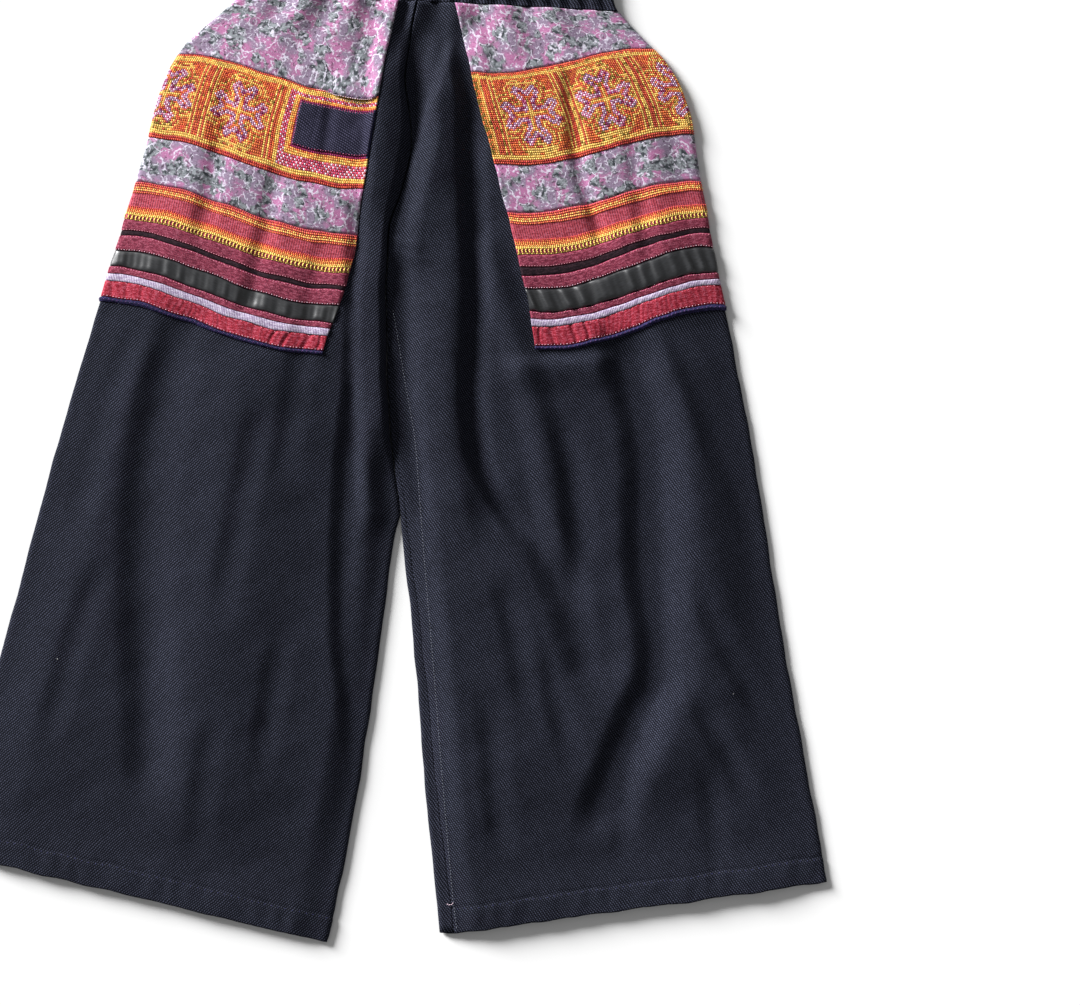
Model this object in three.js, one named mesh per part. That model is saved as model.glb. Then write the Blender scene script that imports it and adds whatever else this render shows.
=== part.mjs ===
// Wide-leg patchwork trousers laid flat with the front up, in millimetres.
// X runs to the viewer's right, Y towards the waist and Z up from the surface they lie on.
// Sides are the wearer's, so the left leg lies at +X.
// Places on the cloth are given by "drop", the distance below the waist edge along the
// garment's middle, and by "out", the distance from the middle towards that leg's side.
// Each leg is one section curve, carried down the garment. The panels are stretches of it
// with a wall's thickness, and the bands of the hip patches are its points moved out.

import * as THREE from 'three';

// Overall sizes
const LENGTH = 978;
const BAND_DEPTH = 35;
const CROTCH_DROP = 298;
const SEAM = 0.3;

// Cloth
const WALL = 1.0;
const BAND_WALL = 1.6;
const UNDER_PATCH = 1.2; // how far the bands lift the back panel off the surface
const BACK_BAND_WALL = UNDER_PATCH - SEAM;

// Heights of the front's outer face above the surface
const FRONT_LOW = 3.9;
const FRONT_FULL = 2.2; // air under the front between its folds
const WAIST_FULL = 2.0; // more air where the front is gathered
const FOLD_HALF = 2.6; // half the height of a folded edge
const FOLD_REACH = 6; // how far in a folded edge turns over
const SIDE_CALM = 30; // folds die away this far from the side
const INNER_CALM = 12;

// Gathers under the waistband
const GATHER_END = 112;
const GATHER_RISE = 2.3;
const GATHERS_INNER = 1;
const GATHERS_OUTER = 3.5;

// The back's ramp down from the patch to the surface
const RAMP = 14;
const RAMP_MOST = 0.4; // of the stretch between the middle and the patch
const LOWER_ROWS = 13;
const HEM_MIDDLE = 970; // the mean of the two hems' drops at the inner folds
const LEGS_PART = 0.4; // share of the lower rows down to which the legs' rows meet

// The side of both legs
const SIDE_LINE = [
  { drop: 0, out: 178 },
  { drop: 35, out: 187 },
  { drop: 88, out: 240 },
  { drop: 133, out: 263 },
  { drop: 198, out: 277 },
  { drop: 277, out: 296 },
  { drop: 366, out: 319 },
  { drop: 485, out: 348 },
  { drop: 663, out: 386 },
  { drop: 782, out: 414 },
  { drop: 892, out: 440 },
];

// The middle, which wanders as laid: the centre seam above the crotch, and below it the
// line along which the two legs touch. Here out is measured to the left.
const MIDDLE_LINE = [
  { drop: 0, out: -8 },
  { drop: 105, out: -22 },
  { drop: 178, out: -12 },
  { drop: 222, out: -20 },
  { drop: 262, out: -30 },
  { drop: 364, out: -28 },
  { drop: 463, out: -19 },
  { drop: 548, out: -4 },
];

// Where the two legs part, each inner fold has its own line
const LEFT_INNER_LINE = [
  { drop: 573, out: -1 },
  { drop: 692, out: 17.5 },
  { drop: 811, out: 33 },
  { drop: 962, out: 56.5 },
];
const RIGHT_INNER_LINE = [
  { drop: 573, out: 9 },
  { drop: 694, out: 19.5 },
  { drop: 815, out: 31 },
  { drop: 936, out: 48 },
  { drop: 978, out: 56 },
];

// The patches' front edges, which go on below the patch as a line of the leg
const LEFT_PATCH_LINE = [
  { drop: 35, out: 24 },
  { drop: 98, out: 42 },
  { drop: 376, out: 121.5 },
  { drop: 941, out: 196 },
];
const RIGHT_PATCH_LINE = [
  { drop: 35, out: 32 },
  { drop: 103, out: 43 },
  { drop: 227, out: 57 },
  { drop: 310, out: 67 },
  { drop: 393, out: 89.5 },
  { drop: 957, out: 186 },
];

// The bands of a patch from the top: the drop of each lower edge at the patch's front edge
// and at the side on either leg, how thick the band is, and where rows divide it
const BANDS = [
  { name: 'batik_top', left: [104.5, 71], right: [134, 100], thick: 0.8, cuts: [0.3, 0.62] },
  { name: 'embroidery', left: [195.5, 154.5], right: [226.5, 185], thick: 1.0, cuts: [0.2, 0.45, 0.7] },
  { name: 'batik_low', left: [241, 200], right: [271.5, 230], thick: 0.8, cuts: [] },
  { name: 'braid', left: [283.5, 236.5], right: [310.5, 267], thick: 0.9, cuts: [0.6] },
  { name: 'tape_high', left: [295, 246.5], right: [324, 278], thick: 1.1, cuts: [] },
  { name: 'cord_dark', left: [303, 251], right: [328, 283], thick: 0.7, cuts: [] },
  { name: 'tape_low', left: [316, 264.5], right: [343, 298], thick: 1.1, cuts: [] },
  { name: 'sateen', left: [339.5, 290.5], right: [360, 315], thick: 0.8, cuts: [] },
  { name: 'tape_thin', left: [346.5, 297], right: [366, 322], thick: 1.0, cuts: [] },
  { name: 'ribbon', left: [353.5, 302.5], right: [374, 329], thick: 1.5, cuts: [] },
  { name: 'crimson', left: [372, 321], right: [389, 345], thick: 1.0, cuts: [] },
  { name: 'piping', left: [376, 327], right: [393, 350], thick: 1.5, cuts: [] },
];

// The navy rectangle on the right patch lies on the embroidered band between its cuts
const APPLIQUE_WALL = 0.8;
const APPLIQUE_CUTS = { from: 1, to: 3 };
const APPLIQUE_COLUMNS = 4;

// The large folds. Each runs through three places given as x, to the left, and drop, and has
// a half width towards either side and a rise, which is below zero for a trough.
const FOLDS = [
  { from: [-37, 60], through: [-50, 300], to: [-28, 600], minus: 24, plus: 20, rise: 7.0 },
  { from: [14, 60], through: [3, 290], to: [26, 520], minus: 26, plus: 26, rise: 6.5 },
  { from: [30, 60], through: [51, 320], to: [80, 590], minus: 24, plus: 26, rise: -5.5 },
  { from: [58, 170], through: [80, 370], to: [128, 570], minus: 26, plus: 36, rise: 4.0 },
  { from: [-57, 230], through: [-66, 480], to: [-56, 790], minus: 30, plus: 22, rise: -5.0 },
  { from: [186, 330], through: [233, 560], to: [205, 840], minus: 62, plus: 26, rise: -5.0 },
  { from: [214, 320], through: [268, 520], to: [268, 800], minus: 34, plus: 80, rise: 5.5 },
  { from: [128, 366], through: [146, 470], to: [172, 600], minus: 24, plus: 22, rise: -3.0 },
  { from: [250, 330], through: [306, 450], to: [345, 570], minus: 26, plus: 24, rise: -3.0 },
  { from: [300, 620], through: [322, 740], to: [315, 892], minus: 26, plus: 26, rise: -2.5 },
  { from: [-196, 350], through: [-226, 570], to: [-214, 850], minus: 26, plus: 54, rise: -4.5 },
  { from: [-222, 330], through: [-262, 540], to: [-270, 810], minus: 76, plus: 34, rise: 5.0 },
  { from: [-262, 350], through: [-312, 470], to: [-338, 600], minus: 24, plus: 24, rise: -3.0 },
];
const FOLD_FADE = 70;

// Columns of points across the front and the back, as shares of the stretch between two lines
const INNER_SHARES = [0, 0.012, 0.045, 0.11, 0.25, 0.42, 0.6, 0.8, 1];
const OUTER_SHARES = [0.09, 0.18, 0.27, 0.36, 0.45, 0.54, 0.64, 0.74, 0.84, 0.92, 0.965, 0.99, 1];
const BACK_OUTER_SHARES = [0.5, 0.965, 0.99, 1];
const BACK_FOLD_PLACES = [0, 0.8, 3, 6.5];
const PATCH_COLUMN = INNER_SHARES.length - 1;

// The inseam of the left leg comes round the inner fold onto the front towards the hem
const LEGS = [
  {
    name: 'left',
    side: 1,
    innerLine: LEFT_INNER_LINE,
    patchLine: LEFT_PATCH_LINE,
    hem: { middle: 962, patch: 938, side: 892 },
    seamTop: 0.8,
    seamHem: 15,
    turnSteps: 2,
  },
  {
    name: 'right',
    side: -1,
    innerLine: RIGHT_INNER_LINE,
    patchLine: RIGHT_PATCH_LINE,
    hem: { middle: 978, patch: 953, side: 906 },
    seamTop: 0,
    seamHem: 0,
    turnSteps: 0,
  },
];

// Waistband
const BAND_GATHERS = 20;
const BAND_COLUMNS = 80;
const BAND_TOP = 7.2;
const BAND_GATHER_RISE = 1.2;
const BAND_DROPS = [0, 17, BAND_DEPTH];
const BAND_BACK_SHARES = [0, 0.015, 0.985, 1];

const TWILL = { color: 0x262933, roughness: 0.92, metalness: 0 };
const COLOURS = {
  batik_top: 0x8d7690,
  embroidery: 0xc8552a,
  batik_low: 0x8d7690,
  braid: 0xb8602f,
  tape_high: 0x8a2440,
  cord_dark: 0x2a1c26,
  tape_low: 0x93263f,
  sateen: 0x23262a,
  tape_thin: 0x8f2a42,
  ribbon: 0xb4a9c4,
  crimson: 0xa02036,
  piping: 0x2e2450,
  applique: 0x252744,
};

const clamp = (value, low, high) => Math.min(Math.max(value, low), high);
const mix = (a, b, share) => a + (b - a) * share;

function smooth(share) {
  const k = clamp(share, 0, 1);
  return k * k * (3 - 2 * k);
}

// A smooth curve through the rows of a line table
function lineAt(line, drop) {
  let i = 0;
  while (i < line.length - 2 && drop > line[i + 1].drop) i += 1;
  const slope = (n) => {
    const before = line[Math.max(n - 1, 0)];
    const after = line[Math.min(n + 1, line.length - 1)];
    return (after.out - before.out) / (after.drop - before.drop);
  };
  const step = line[i + 1].drop - line[i].drop;
  const t = clamp((drop - line[i].drop) / step, 0, 1);
  const start = (1 + 2 * t) * (1 - t) ** 2 * line[i].out + t * (1 - t) ** 2 * step * slope(i);
  const end = t * t * (3 - 2 * t) * line[i + 1].out + t * t * (t - 1) * step * slope(i + 1);
  return start + end;
}

// How far out a leg begins: at the shared middle first, and then at its own inner fold
function innerAt(leg, drop) {
  const parting = MIDDLE_LINE[MIDDLE_LINE.length - 1];
  if (drop <= parting.drop) return leg.side * lineAt(MIDDLE_LINE, drop);
  const start = { drop: parting.drop, out: leg.side * parting.out };
  return lineAt([start, ...leg.innerLine], drop);
}

// How far a fold lifts the cloth at a place
function foldLift(fold, x, drop) {
  const [x0, d0] = fold.from;
  const [x1, d1] = fold.through;
  const [x2, d2] = fold.to;
  if (drop <= d0 || drop >= d2) return 0;
  const a = (drop - d1) * (drop - d2) / ((d0 - d1) * (d0 - d2));
  const b = (drop - d0) * (drop - d2) / ((d1 - d0) * (d1 - d2));
  const c = (drop - d0) * (drop - d1) / ((d2 - d0) * (d2 - d1));
  const away = x - (a * x0 + b * x1 + c * x2);
  const near = clamp(Math.abs(away) / (away < 0 ? fold.minus : fold.plus), 0, 1);
  const ends = smooth((drop - d0) / FOLD_FADE) * smooth((d2 - drop) / FOLD_FADE);
  return fold.rise * ends * (0.5 + 0.5 * Math.cos(Math.PI * near));
}

// Height of the front's outer face away from its edges. It never falls under FRONT_LOW.
function frontHeight(x, drop, gather) {
  const waist = 1 - smooth((drop - BAND_DEPTH) / (GATHER_END - BAND_DEPTH));
  const folds = FOLDS.reduce((sum, fold) => sum + foldLift(fold, x, drop), 0);
  const lift = FRONT_FULL + folds + waist * (WAIST_FULL + GATHER_RISE * gather);
  return FRONT_LOW + 0.5 * (lift + Math.sqrt(lift * lift + 1));
}

// How much of its full height a folded edge has reached at a distance in from the edge
function turned(inward) {
  const rest = 1 - clamp(inward / FOLD_REACH, 0, 1);
  return Math.sqrt(1 - rest * rest);
}

// The rows of one leg from the waistband to the hem. Both legs share the drops along the
// middle down to where they part. patched says that the bands cover a row.
function rowsOf(leg) {
  const top = BAND_DEPTH + SEAM;
  const rows = [{ middle: top, patch: top, side: top, curve: 1, patched: true, band: 0 }];
  BANDS.forEach((band, index) => {
    const above = rows[rows.length - 1];
    const [patch, side] = band[leg.name];
    [...band.cuts, 1].forEach((share) => {
      rows.push({
        middle: mix(above.middle, (band.left[0] + band.right[0]) / 2, share),
        patch: mix(above.patch, patch, share),
        side: mix(above.side, side, share),
        curve: 1,
        patched: true,
        band: share === 1 ? index + 1 : undefined,
      });
    });
  });
  const crotch = rows.reduce((best, row) => (
    Math.abs(row.middle - CROTCH_DROP) < Math.abs(best.middle - CROTCH_DROP) ? row : best
  ));
  crotch.middle = CROTCH_DROP;
  const last = rows[rows.length - 1];
  const first = { middle: last.middle + RAMP, patch: last.patch + RAMP, side: last.side + RAMP };
  for (let n = 0; n <= LOWER_ROWS; n += 1) {
    const share = n / LOWER_ROWS;
    const own = (leg.hem.middle - HEM_MIDDLE) * smooth((share - LEGS_PART) / (1 - LEGS_PART));
    rows.push({
      middle: mix(first.middle, HEM_MIDDLE, share) + own,
      patch: mix(first.patch, leg.hem.patch, share),
      side: mix(first.side, leg.hem.side, share),
      curve: 1 - share,
      patched: false,
    });
  }
  return rows;
}

// The places where one row crosses the leg's lines
function crossings(leg, row) {
  return {
    inner: innerAt(leg, row.middle) + SEAM / 2,
    patch: lineAt(leg.patchLine, row.patch),
    side: lineAt(SIDE_LINE, row.side),
  };
}

// The drop along a row: straight to the patch's edge, and then up to the side, in a slow
// curve where the bands lie that straightens towards the hem
const innerDrop = (row, share) => mix(row.middle, row.patch, share);

function outerDrop(row, share) {
  const curved = smooth(share) ** 1.25;
  return mix(row.patch, row.side, mix(share, curved, row.curve));
}

// How far the inseam has come onto the front at a row
function seamShift(leg, row) {
  const share = (row.middle - CROTCH_DROP) / (leg.hem.middle - CROTCH_DROP);
  return mix(leg.seamTop, leg.seamHem, share);
}

// One point of the front's outer face
function frontPoint(leg, row, lines, out, drop, gather) {
  const inward = out - lines.inner;
  const outward = lines.side - out;
  const base = row.patched ? UNDER_PATCH : 0;
  const half = base + FOLD_HALF;
  const edge = base + 2 * FOLD_HALF + 0.3;
  const calm = smooth(outward / SIDE_CALM) * smooth(inward / INNER_CALM);
  const free = mix(edge, frontHeight(leg.side * out, drop, gather), calm);
  const height = half + (free - half) * turned(inward) * turned(outward);
  return { out, drop, height };
}

// The front's outer points along one row, from the inseam or centre seam to the side
function frontRow(leg, row) {
  const lines = crossings(leg, row);
  const shift = row.middle < CROTCH_DROP ? 0 : seamShift(leg, row);
  const start = lines.inner + shift;
  const inner = INNER_SHARES.map((share) => {
    const gather = Math.cos(2 * Math.PI * GATHERS_INNER * share);
    const out = mix(start, lines.patch, share);
    return frontPoint(leg, row, lines, out, innerDrop(row, share), gather);
  });
  const outer = OUTER_SHARES.map((share) => {
    const gather = Math.cos(2 * Math.PI * GATHERS_OUTER * share);
    const out = mix(lines.patch, lines.side, share);
    return frontPoint(leg, row, lines, out, outerDrop(row, share), gather);
  });
  return [...inner, ...outer];
}

// The back's outer points along one row, from the same seam to the side. Below the crotch
// they begin on the front, at the inseam, and come round the inner fold.
function backRow(leg, row) {
  const lines = crossings(leg, row);
  const above = row.middle < CROTCH_DROP;
  const shift = above ? leg.seamTop : seamShift(leg, row);
  const width = lines.patch - lines.inner;
  const base = row.patched ? UNDER_PATCH : 0;
  const points = [];
  for (let n = 0; n < leg.turnSteps; n += 1) {
    const along = shift * n / leg.turnSteps;
    if (above) {
      points.push({ out: lines.inner + along, drop: row.middle, height: 0 });
    } else {
      const inward = shift - along;
      points.push(frontPoint(leg, row, lines, lines.inner + inward, row.middle, 0));
    }
  }
  BACK_FOLD_PLACES.forEach((place) => {
    const out = lines.inner + place + (above ? shift : 0);
    const half = base + FOLD_HALF;
    const height = above ? 0 : half * (1 - turned(place));
    points.push({ out, drop: innerDrop(row, place / width), height });
  });
  const ramp = 1 - Math.min(RAMP / width, RAMP_MOST);
  points.push({ out: mix(lines.inner, lines.patch, ramp), drop: innerDrop(row, ramp), height: 0 });
  points.push({ out: lines.patch, drop: row.patch, height: base });
  BACK_OUTER_SHARES.forEach((share) => {
    const out = mix(lines.patch, lines.side, share);
    const height = mix(base + FOLD_HALF, base, turned(lines.side - out));
    points.push({ out, drop: outerDrop(row, share), height });
  });
  return points;
}

const unit = (a, b) => {
  const length = Math.hypot(b.out - a.out, b.height - a.height);
  return { out: (b.out - a.out) / length, height: (b.height - a.height) / length };
};

// Gives each point of a section the direction away from the cloth, and the one along it
function addDirections(points, closed) {
  const count = points.length;
  points.forEach((point, n) => {
    const before = closed ? points[(n + count - 1) % count] : points[Math.max(n - 1, 0)];
    const after = closed ? points[(n + 1) % count] : points[Math.min(n + 1, count - 1)];
    const into = before === point ? unit(point, after) : unit(before, point);
    const outOf = after === point ? into : unit(point, after);
    const sum = { out: into.out + outOf.out, height: into.height + outOf.height };
    const length = Math.hypot(sum.out, sum.height);
    const along = { out: sum.out / length, height: sum.height / length };
    const miter = 1 / Math.max(0.75, along.out * into.out + along.height * into.height);
    point.along = along;
    point.away = { out: -along.height * miter, height: along.out * miter };
  });
}

// The section of one leg at a row: the front's points and the back's, seam to side
function sectionOf(leg, row) {
  const front = frontRow(leg, row);
  const back = backRow(leg, row);
  const closed = row.middle >= CROTCH_DROP;
  const lower = back.slice(closed ? 1 : 0, -1).reverse();
  addDirections([...front, ...lower], closed);
  const twin = (point, like) => ({ ...point, along: like.along, away: like.away });
  back[back.length - 1] = twin(back[back.length - 1], front[front.length - 1]);
  if (closed) back[0] = twin(back[0], front[0]);
  return { front, back, closed };
}

// A point moved away from the cloth, and along it to leave half of a seam's gap
function placed(leg, point, away, along) {
  const out = point.out + point.away.out * away + point.along.out * along;
  const height = point.height + point.away.height * away + point.along.height * along;
  return new THREE.Vector3(leg.side * out, LENGTH / 2 - point.drop, height);
}

// A closed wall between two grids of points of the same size
function wallBetween(outer, inner) {
  const rowCount = outer.length;
  const columnCount = outer[0].length;
  const points = [...outer.flat(), ...inner.flat()];
  const at = (layer, r, c) => (layer * rowCount + r) * columnCount + c;
  const faces = [];
  const quad = (a, b, c, d) => faces.push([a, b, c], [a, c, d]);
  for (let r = 0; r < rowCount - 1; r += 1) {
    for (let c = 0; c < columnCount - 1; c += 1) {
      quad(at(0, r, c), at(0, r + 1, c), at(0, r + 1, c + 1), at(0, r, c + 1));
      faces.push([at(1, r, c), at(1, r + 1, c + 1), at(1, r + 1, c)]);
      faces.push([at(1, r, c), at(1, r, c + 1), at(1, r + 1, c + 1)]);
    }
  }
  for (let c = 0; c < columnCount - 1; c += 1) {
    const r = rowCount - 1;
    quad(at(0, 0, c), at(0, 0, c + 1), at(1, 0, c + 1), at(1, 0, c));
    quad(at(0, r, c + 1), at(0, r, c), at(1, r, c), at(1, r, c + 1));
  }
  for (let r = 0; r < rowCount - 1; r += 1) {
    const c = columnCount - 1;
    quad(at(0, r + 1, 0), at(0, r, 0), at(1, r, 0), at(1, r + 1, 0));
    quad(at(0, r, c), at(0, r + 1, c), at(1, r + 1, c), at(1, r, c));
  }
  const volume = faces.reduce((sum, [a, b, c]) => (
    sum + points[a].dot(new THREE.Vector3().crossVectors(points[b], points[c]))
  ), 0);
  const index = faces.flatMap(([a, b, c]) => (volume < 0 ? [a, c, b] : [a, b, c]));
  const geometry = new THREE.BufferGeometry().setFromPoints(points);
  geometry.setIndex(index);
  return geometry.toNonIndexed();
}

function meshOf(name, geometry, look) {
  geometry.computeVertexNormals();
  const mesh = new THREE.Mesh(geometry, new THREE.MeshStandardMaterial(look));
  mesh.name = name;
  return mesh;
}

// One panel of a leg. The seam's gap is taken off its side edge and, where the leg is a
// closed tube, off its inner edge.
function panelMesh(leg, sections, which) {
  const sign = which === 'front' ? 1 : -1;
  const grid = (away) => sections.map((section) => {
    const points = section[which];
    return points.map((point, n) => {
      let along = 0;
      if (n === points.length - 1) along = -sign * SEAM / 2;
      if (n === 0 && section.closed) along = sign * SEAM / 2;
      return placed(leg, point, away, along);
    });
  });
  return meshOf(`${which}_${leg.name}`, wallBetween(grid(0), grid(-WALL)), TWILL);
}

// The points that a patch covers along one section: over the front, round the side and
// back under the leg to the mirrored edge, each with its share of the front's thickness
function patchPoints(section) {
  const over = section.front.slice(PATCH_COLUMN).map((point) => ({ point, front: true }));
  const under = section.back.slice(-1 - BACK_OUTER_SHARES.length, -1).reverse();
  return [...over, ...under.map((point) => ({ point, front: false }))];
}

// A grid between two heights over the cloth, drawn in a little at its first and last row
function patchGrid(leg, sections, heightOf) {
  const grid = sections.map((section) => (
    patchPoints(section).map(({ point, front }) => placed(leg, point, heightOf(front), 0))
  ));
  const draw = (row, next) => row.map((point, n) => {
    const share = (SEAM / 2) / point.distanceTo(next[n]);
    return point.clone().lerp(next[n], share);
  });
  const last = grid.length - 1;
  const top = draw(grid[0], grid[1]);
  const bottom = draw(grid[last], grid[last - 1]);
  return [top, ...grid.slice(1, last), bottom];
}

function bandMesh(leg, sections, band) {
  const inner = patchGrid(leg, sections, () => SEAM);
  const outer = patchGrid(leg, sections, (front) => SEAM + (front ? band.thick : BACK_BAND_WALL));
  const look = { color: COLOURS[band.name], roughness: 0.85, metalness: 0 };
  return meshOf(`${band.name}_${leg.name}`, wallBetween(outer, inner), look);
}

// The rectangle sewn onto the embroidered band of the right patch
function appliqueMesh(leg, sections, under) {
  const low = 2 * SEAM + under.thick;
  const columns = (grid) => grid.map((row) => row.slice(0, APPLIQUE_COLUMNS + 1));
  const inner = columns(patchGrid(leg, sections, () => low));
  const outer = columns(patchGrid(leg, sections, () => low + APPLIQUE_WALL));
  const look = { color: COLOURS.applique, roughness: 0.9, metalness: 0 };
  return meshOf(`applique_${leg.name}`, wallBetween(outer, inner), look);
}

function legMeshes(leg) {
  const rows = rowsOf(leg);
  const sections = rows.map((row) => sectionOf(leg, row));
  const edge = (band) => rows.findIndex((row) => row.band === band);
  const meshes = [panelMesh(leg, sections, 'front'), panelMesh(leg, sections, 'back')];
  BANDS.forEach((band, index) => {
    meshes.push(bandMesh(leg, sections.slice(edge(index), edge(index + 1) + 1), band));
  });
  if (leg.name === 'right') {
    const on = BANDS.findIndex((band) => band.name === 'embroidery');
    const top = edge(on) + APPLIQUE_CUTS.from;
    const low = edge(on) + APPLIQUE_CUTS.to;
    meshes.push(appliqueMesh(leg, sections.slice(top, low + 1), BANDS[on]));
  }
  return meshes;
}

// The waistband's two halves, gathered over the front and flat underneath
function waistbandMeshes() {
  const whole = { side: 1 };
  const sections = BAND_DROPS.map((drop) => {
    const width = lineAt(SIDE_LINE, drop);
    const front = [];
    for (let n = 0; n <= BAND_COLUMNS; n += 1) {
      const share = n / BAND_COLUMNS;
      const edge = width * (1 - Math.abs(2 * share - 1));
      const wave = BAND_GATHER_RISE * Math.cos(2 * Math.PI * BAND_GATHERS * share);
      const height = mix(BAND_TOP / 2, BAND_TOP + wave, turned(edge));
      front.push({ out: mix(-width, width, share), drop, height });
    }
    const back = BAND_BACK_SHARES.map((share) => {
      const edge = width * (1 - Math.abs(2 * share - 1));
      return { out: mix(-width, width, share), drop, height: BAND_TOP / 2 * (1 - turned(edge)) };
    });
    addDirections([...front, ...back.slice(1, -1).reverse()], true);
    back[0] = { ...back[0], along: front[0].along, away: front[0].away };
    const end = front[front.length - 1];
    back[back.length - 1] = { ...back[back.length - 1], along: end.along, away: end.away };
    return { front, back };
  });
  return ['front', 'back'].map((which) => {
    const sign = which === 'front' ? 1 : -1;
    const grid = (away) => sections.map((section) => {
      const points = section[which];
      return points.map((point, n) => {
        let along = 0;
        if (n === 0) along = sign * SEAM / 2;
        if (n === points.length - 1) along = -sign * SEAM / 2;
        return placed(whole, point, away, along);
      });
    });
    return meshOf(`waistband_${which}`, wallBetween(grid(0), grid(-BAND_WALL)), TWILL);
  });
}

const trousers = new THREE.Group();
trousers.name = 'patchwork_trousers';
LEGS.forEach((leg) => trousers.add(...legMeshes(leg)));
trousers.add(...waistbandMeshes());

export default trousers;
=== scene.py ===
"""Wide-leg patchwork trousers laid flat with the front up, dressed in cloth and thread.

X runs to the viewer's right, Y towards the waist and Z up from the floor. Sides are the
wearer's, so the left leg lies at +X. Shapes are worked out in millimetres and become metres
where a mesh is made. A place on the cloth is given by its drop, the distance below the waist
edge, and by how far out it lies from the middle towards its leg's side.
"""
from __future__ import annotations

import logging
import math
from dataclasses import dataclass, field
from enum import Enum
from typing import Iterable, Sequence

import bmesh
import bpy
import numpy as np
from mathutils import Euler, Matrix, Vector

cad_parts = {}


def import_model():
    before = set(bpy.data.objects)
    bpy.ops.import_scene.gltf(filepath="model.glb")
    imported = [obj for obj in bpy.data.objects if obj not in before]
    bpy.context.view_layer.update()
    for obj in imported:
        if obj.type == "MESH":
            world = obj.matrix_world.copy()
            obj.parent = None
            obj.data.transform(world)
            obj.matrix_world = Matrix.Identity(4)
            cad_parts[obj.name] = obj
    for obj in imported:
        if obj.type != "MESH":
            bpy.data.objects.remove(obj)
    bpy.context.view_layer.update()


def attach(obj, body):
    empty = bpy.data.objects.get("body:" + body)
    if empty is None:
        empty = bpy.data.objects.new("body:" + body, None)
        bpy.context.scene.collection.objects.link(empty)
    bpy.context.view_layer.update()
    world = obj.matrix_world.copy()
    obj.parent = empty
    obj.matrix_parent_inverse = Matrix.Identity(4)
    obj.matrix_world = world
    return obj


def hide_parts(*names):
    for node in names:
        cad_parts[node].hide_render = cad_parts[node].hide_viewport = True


LOG = logging.getLogger("trousers")
MM = 0.001
CUT = "cut"
DYE = "dye"

LENGTH = 978.0
BAND_DEPTH = 35.0
CROTCH_DROP = 298.0
SEAM = 0.3
WALL = 1.0
UNDER_PATCH = 1.2
FRONT_LOW = 3.9
FRONT_FULL = 8.0
FRONT_AT_WAIST = 2.2
FRONT_AT_HEM = 1.6
FULL_REACH = 95.0
HEM_REACH = 170.0
WAIST_FULL = 2.0
FOLD_HALF = 2.1
FOLD_REACH = 6.0
SEAM_REACH = 1.6
SIDE_CALM = 66.0
INNER_CALM = 34.0
GATHER_END = 112.0
GATHER_RISE = 2.3
GATHERS_OUTER = 3.5
RAMP = 14.0
RAMP_MOST = 0.4
LOWER_ROWS = 13
LOWER_STEP = 44.0
HEM_MIDDLE = 970.0
LEGS_PART = 0.4
FOLD_FADE = 70.0
CALM_RAMP = 60.0
CALM_STRIP = 6.0
OPENING = 40.0
LOOSE_RAMP = 50.0
FOLD_END = 6.5
FOLD_PLACES = (0, 0.35, 0.9, 1.7, 2.8, 4.3)
NEAR_EDGE = (0, 0.004, 0.011, 0.022, 0.038, 0.058, 0.08)
ROUNDING = (0.962, 0.971, 0.979, 0.986, 0.9915, 0.996, 0.999, 1.0)
SEAM_COLUMNS = 8
EMBROIDERY_DEPTH = 89.0
APPLIQUE_LENGTH = 79.0
APPLIQUE_SHARES = (0.205, 0.695)
THREAD_SIDES = 4
THREAD_RINGS = 2
DYE_SPREAD = 0.12
GROUND = "pale_ground"

Array = np.ndarray
Colour = tuple[float, float, float]
Socket = bpy.types.NodeSocket


class Side(Enum):
    """The wearer's sides. The value is the way to that side along X."""

    LEFT = 1
    RIGHT = -1


class Stretch(Enum):
    """The stretches of a leg's section that are cut as pieces of cloth."""

    FRONT = "front"
    BACK = "back"
    PATCH = "patch"


class Relief(Enum):
    """How the face of a sewn-on band rises and falls."""

    FLAT = "flat"
    TAPE = "tape"
    TWISTED = "twisted"
    PUCKERED = "puckered"
    SATIN = "satin"
    ROUND = "round"


class Dye(Enum):
    """Thread colours, in sRGB."""

    YELLOW = (0.94, 0.79, 0.44)
    AMBER = (0.91, 0.64, 0.34)
    ORANGE = (0.86, 0.47, 0.27)
    VERMILION = (0.80, 0.34, 0.26)
    RED = (0.73, 0.25, 0.26)
    OLIVE = (0.55, 0.45, 0.19)
    MOSS = (0.36, 0.34, 0.13)
    PINK = (0.78, 0.44, 0.58)
    LILAC = (0.62, 0.44, 0.60)
    PALE = (0.91, 0.80, 0.86)
    ROSE = (0.84, 0.26, 0.38)
    MAGENTA = (0.58, 0.17, 0.37)
    NAVY = (0.17, 0.17, 0.33)
    PURPLE = (0.34, 0.24, 0.44)
    GREY = (0.45, 0.46, 0.50)
    BLUSH = (0.88, 0.60, 0.66)
    STRAW = (0.87, 0.80, 0.40)
    BLACK = (0.05, 0.05, 0.06)

    @property
    def number(self) -> int:
        """The dye's place in the list of dyes."""
        return list(Dye).index(self)


def linear(colour: Colour) -> Colour:
    """Turns an sRGB colour into the linear one that a shader reads."""
    return tuple(
        part / 12.92 if part <= 0.04045 else ((part + 0.055) / 1.055) ** 2.4 for part in colour
    )


def smooth(share: Array | float) -> Array:
    """An even step from 0 to 1 as share does."""
    k = np.clip(share, 0.0, 1.0)
    return k * k * (3 - 2 * k)


def mix(a: Array | float, b: Array | float, share: Array | float) -> Array:
    """The value a given share of the way from a to b."""
    return a + (b - a) * share


def unit(vectors: Array) -> Array:
    """The same directions, each one long."""
    return vectors / np.linalg.norm(vectors, axis=-1)[..., None]


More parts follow.
